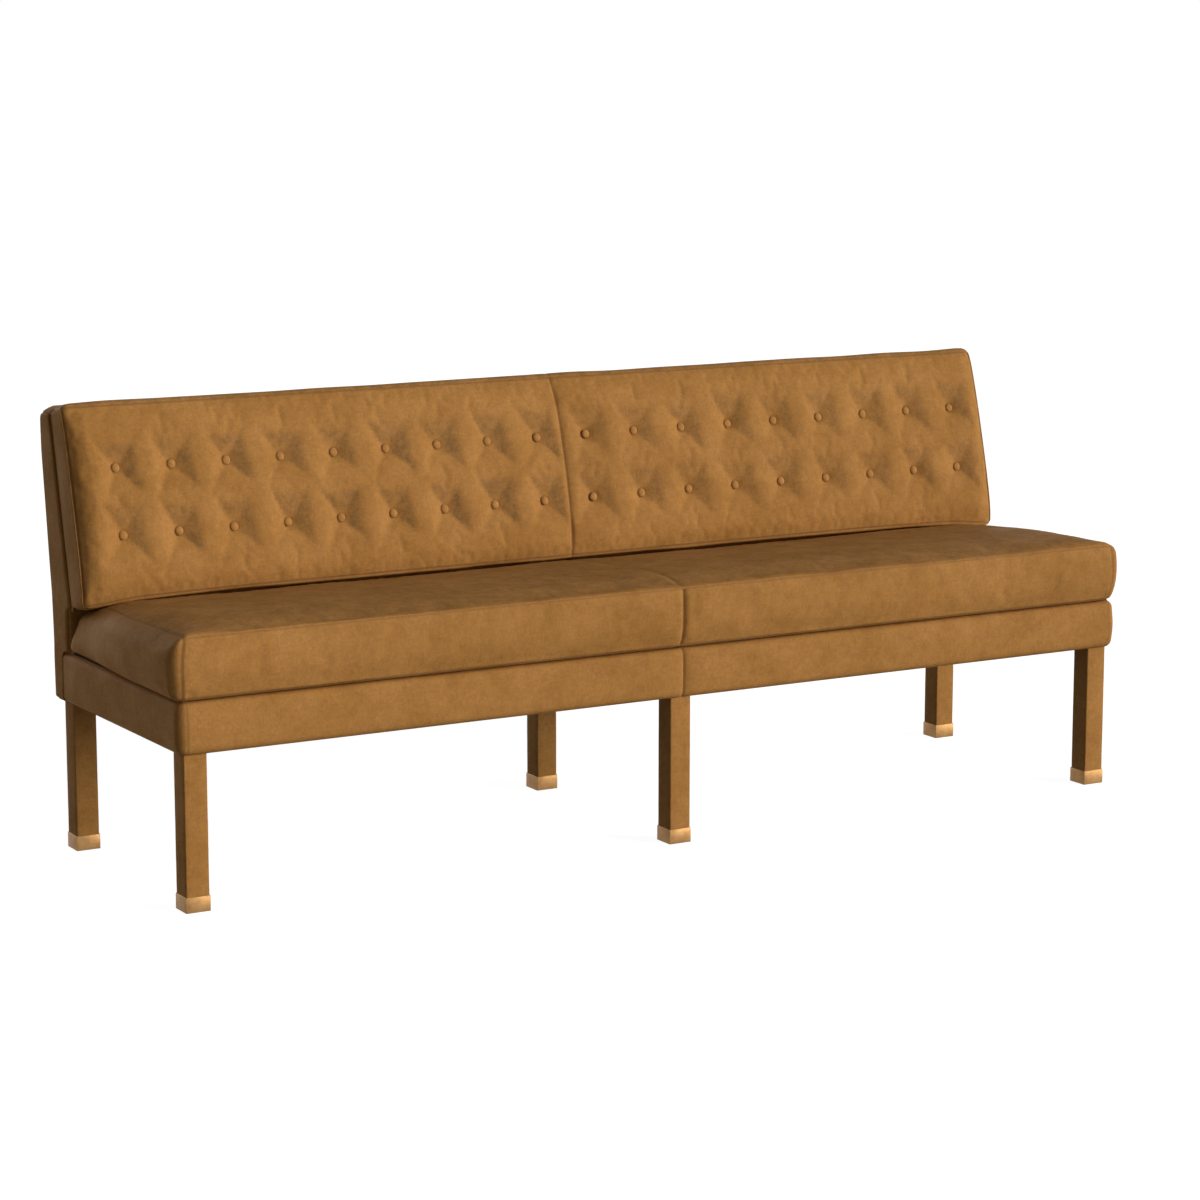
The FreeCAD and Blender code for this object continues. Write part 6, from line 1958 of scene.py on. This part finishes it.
def add_lamp(name, power, turn, colour=(1.0, 1.0, 1.0)):
    """A wide soft sun that shines from a turn about the bench, a little above level."""
    lamp = bpy.data.lights.new(name, "SUN")
    lamp.energy = power
    lamp.angle = LAMP_SPREAD
    lamp.color = colour
    piece = linked(name, lamp)
    piece.rotation_euler = (math.pi / 2 - bpy.context.scene.banquette_stage.lamp_rise, 0, turn)


def build_stage():
    """Floor, sky, lamps and the camera of the picture."""
    settings = bpy.context.scene.banquette_stage
    scene = bpy.context.scene
    scene.view_settings.view_transform = "Standard"
    mesh = bpy.data.meshes.new("floor")
    reach = FLOOR_REACH
    corners = [(-reach, -reach, 0), (reach, -reach, 0), (reach, reach, 0), (-reach, reach, 0)]
    mesh.from_pydata(corners, [], [(0, 1, 2, 3)])
    mesh.materials.append(floor_paint())
    linked("floor", mesh)
    build_sky(scene, settings.sky)
    add_lamp("key_lamp", settings.lamp_power, settings.lamp_turn, LAMP_COLOUR)
    add_lamp("rear_lamp", settings.lamp_power * REAR_LAMP_SHARE,
             math.pi + settings.lamp_turn * REAR_LAMP_TURN_SHARE)
    lens = bpy.data.cameras.new("camera")
    lens.sensor_width = SENSOR_WIDTH
    lens.lens = settings.lens
    lens.clip_end = VIEW_END
    camera = linked("camera", lens)
    camera.location = settings.place
    camera.rotation_euler = (math.pi / 2 - settings.tilt, 0, -settings.turn)
    scene.camera = camera


def seen_directly(tree):
    """An output that is 1 for rays from the camera, from gloss and through glass, and 0 for all others."""
    path = add_node(tree, "ShaderNodeLightPath")
    total = path.outputs["Is Camera Ray"]
    for name in ("Is Glossy Ray", "Is Transmission Ray"):
        total = add_node(tree, "ShaderNodeMath", {0: total, 1: path.outputs[name]}, operation="MAXIMUM")
    return total


def build_sky(scene, strength):
    """White where it is seen, and a plain soft light that is stronger from above for everything else."""
    world = bpy.data.worlds.new("sky")
    scene.world = world
    world.use_nodes = True
    tree = world.node_tree
    tree.nodes.clear()
    place = add_node(tree, "ShaderNodeTexCoord")
    split = add_node(tree, "ShaderNodeSeparateXYZ", {"Vector": place.outputs["Generated"]})
    ramp = add_node(tree, "ShaderNodeMapRange", {"Value": split.outputs["Z"], **SKY_RANGE})
    scaled = add_node(tree, "ShaderNodeMath", {0: ramp, 1: strength}, operation="MULTIPLY")
    soft = add_node(tree, "ShaderNodeBackground", {"Color": (1, 1, 1, 1), "Strength": scaled})
    white = add_node(tree, "ShaderNodeBackground", {"Color": (1, 1, 1, 1)})
    mix = add_node(tree, "ShaderNodeMixShader", {"Fac": seen_directly(tree), 1: soft, 2: white})
    add_node(tree, "ShaderNodeOutputWorld", {"Surface": mix})


def floor_paint():
    """Pale floor that is seen as white where nothing shades it, and keeps the bench's soft shadow."""
    material = bpy.data.materials.new("floor_paint")
    material.use_nodes = True
    tree = material.node_tree
    tree.nodes.clear()
    matt = add_node(tree, "ShaderNodeBsdfDiffuse", {"Color": (*FLOOR_COLOUR, 1)})
    strength = add_node(tree, "ShaderNodeMath", {0: seen_directly(tree), 1: FLOOR_GLOW}, operation="MULTIPLY")
    glow = add_node(tree, "ShaderNodeEmission", {"Strength": strength})
    both = add_node(tree, "ShaderNodeAddShader", {0: matt, 1: glow})
    add_node(tree, "ShaderNodeOutputMaterial", {"Surface": both})
    return material


# Operators and panel

class BANQUETTE_OT_stage(bpy.types.Operator):
    """Add the floor, the sky, the lamps and the camera"""
    bl_idname = "banquette.stage"
    bl_label = "Stage"

    def execute(self, context):
        build_stage()
        return {"FINISHED"}


class BANQUETTE_OT_frame_finish(bpy.types.Operator):
    """Give the wooden frame and the fixings their materials"""
    bl_idname = "banquette.frame_finish"
    bl_label = "Frame finish"

    def execute(self, context):
        finish_frame()
        return {"FINISHED"}


class BANQUETTE_OT_seat_cushion(bpy.types.Operator):
    """Add the loose seat cushion and its stitches"""
    bl_idname = "banquette.seat_cushion"
    bl_label = "Seat cushion"

    def execute(self, context):
        build_seat_cushion()
        return {"FINISHED"}


class BANQUETTE_OT_back_pad(bpy.types.Operator):
    """Add the buttoned back pad and its stitches"""
    bl_idname = "banquette.back_pad"
    bl_label = "Back pad"

    def execute(self, context):
        build_back_pad()
        return {"FINISHED"}


class BANQUETTE_OT_buttons(bpy.types.Operator):
    """Add both rows of covered buttons"""
    bl_idname = "banquette.buttons"
    bl_label = "Buttons"

    def execute(self, context):
        build_buttons()
        return {"FINISHED"}


class BANQUETTE_OT_apron(bpy.types.Operator):
    """Add the padded apron round the seat frame"""
    bl_idname = "banquette.apron"
    bl_label = "Apron"

    def execute(self, context):
        build_apron()
        return {"FINISHED"}


class BANQUETTE_OT_outer_back(bpy.types.Operator):
    """Add the leather cover of the back frame"""
    bl_idname = "banquette.outer_back"
    bl_label = "Outer back"

    def execute(self, context):
        build_outer_back()
        return {"FINISHED"}


class BANQUETTE_OT_leg_sleeves(bpy.types.Operator):
    """Add the leather sleeves of the legs"""
    bl_idname = "banquette.leg_sleeves"
    bl_label = "Leg sleeves"

    def execute(self, context):
        build_leg_sleeves()
        return {"FINISHED"}


class BANQUETTE_OT_leg_caps(bpy.types.Operator):
    """Add the brass caps of the legs"""
    bl_idname = "banquette.leg_caps"
    bl_label = "Leg caps"

    def execute(self, context):
        build_leg_caps()
        return {"FINISHED"}


class BANQUETTE_OT_seat_deck(bpy.types.Operator):
    """Add the webbing, the deck cloth and its staples"""
    bl_idname = "banquette.seat_deck"
    bl_label = "Seat deck"

    def execute(self, context):
        build_seat_deck()
        return {"FINISHED"}


class BANQUETTE_OT_dust_cloth(bpy.types.Operator):
    """Add the cloth under the seat and its staples"""
    bl_idname = "banquette.dust_cloth"
    bl_label = "Dust cloth"

    def execute(self, context):
        build_dust_cloth()
        return {"FINISHED"}


class BANQUETTE_OT_zip(bpy.types.Operator):
    """Add the zip in the rear of the cushion"""
    bl_idname = "banquette.zip"
    bl_label = "Zip"

    def execute(self, context):
        build_zip()
        return {"FINISHED"}


OPERATORS = (
    BANQUETTE_OT_stage, BANQUETTE_OT_frame_finish, BANQUETTE_OT_seat_cushion,
    BANQUETTE_OT_back_pad, BANQUETTE_OT_buttons, BANQUETTE_OT_apron,
    BANQUETTE_OT_outer_back, BANQUETTE_OT_leg_sleeves, BANQUETTE_OT_leg_caps,
    BANQUETTE_OT_seat_deck, BANQUETTE_OT_dust_cloth, BANQUETTE_OT_zip,
)


class BANQUETTE_PT_pieces(bpy.types.Panel):
    """Buttons for every piece of the bench and the settings behind them."""
    bl_label = "Banquette"
    bl_space_type = "VIEW_3D"
    bl_region_type = "UI"
    bl_category = "Banquette"

    def draw(self, context):
        for name, group in SETTINGS:
            box = self.layout.box()
            for key in group.__annotations__:
                box.prop(getattr(context.scene, name), key)
        for each in OPERATORS:
            self.layout.operator(each.bl_idname)


def register():
    """Registers the settings, the operators and the panel."""
    for name, group in SETTINGS:
        bpy.utils.register_class(group)
        setattr(bpy.types.Scene, name, bpy.props.PointerProperty(type=group))
    for each in OPERATORS:
        bpy.utils.register_class(each)
    bpy.utils.register_class(BANQUETTE_PT_pieces)


def unregister():
    """Takes the panel, the operators and the settings away again."""
    bpy.utils.unregister_class(BANQUETTE_PT_pieces)
    for each in reversed(OPERATORS):
        bpy.utils.unregister_class(each)
    for name, group in reversed(SETTINGS):
        delattr(bpy.types.Scene, name)
        bpy.utils.unregister_class(group)


def main():
    """Builds the stage and every piece in order."""
    register()
    for each in OPERATORS:
        getattr(bpy.ops.banquette, each.bl_idname.split(".")[1])()


if __name__ == "__main__":
    main()
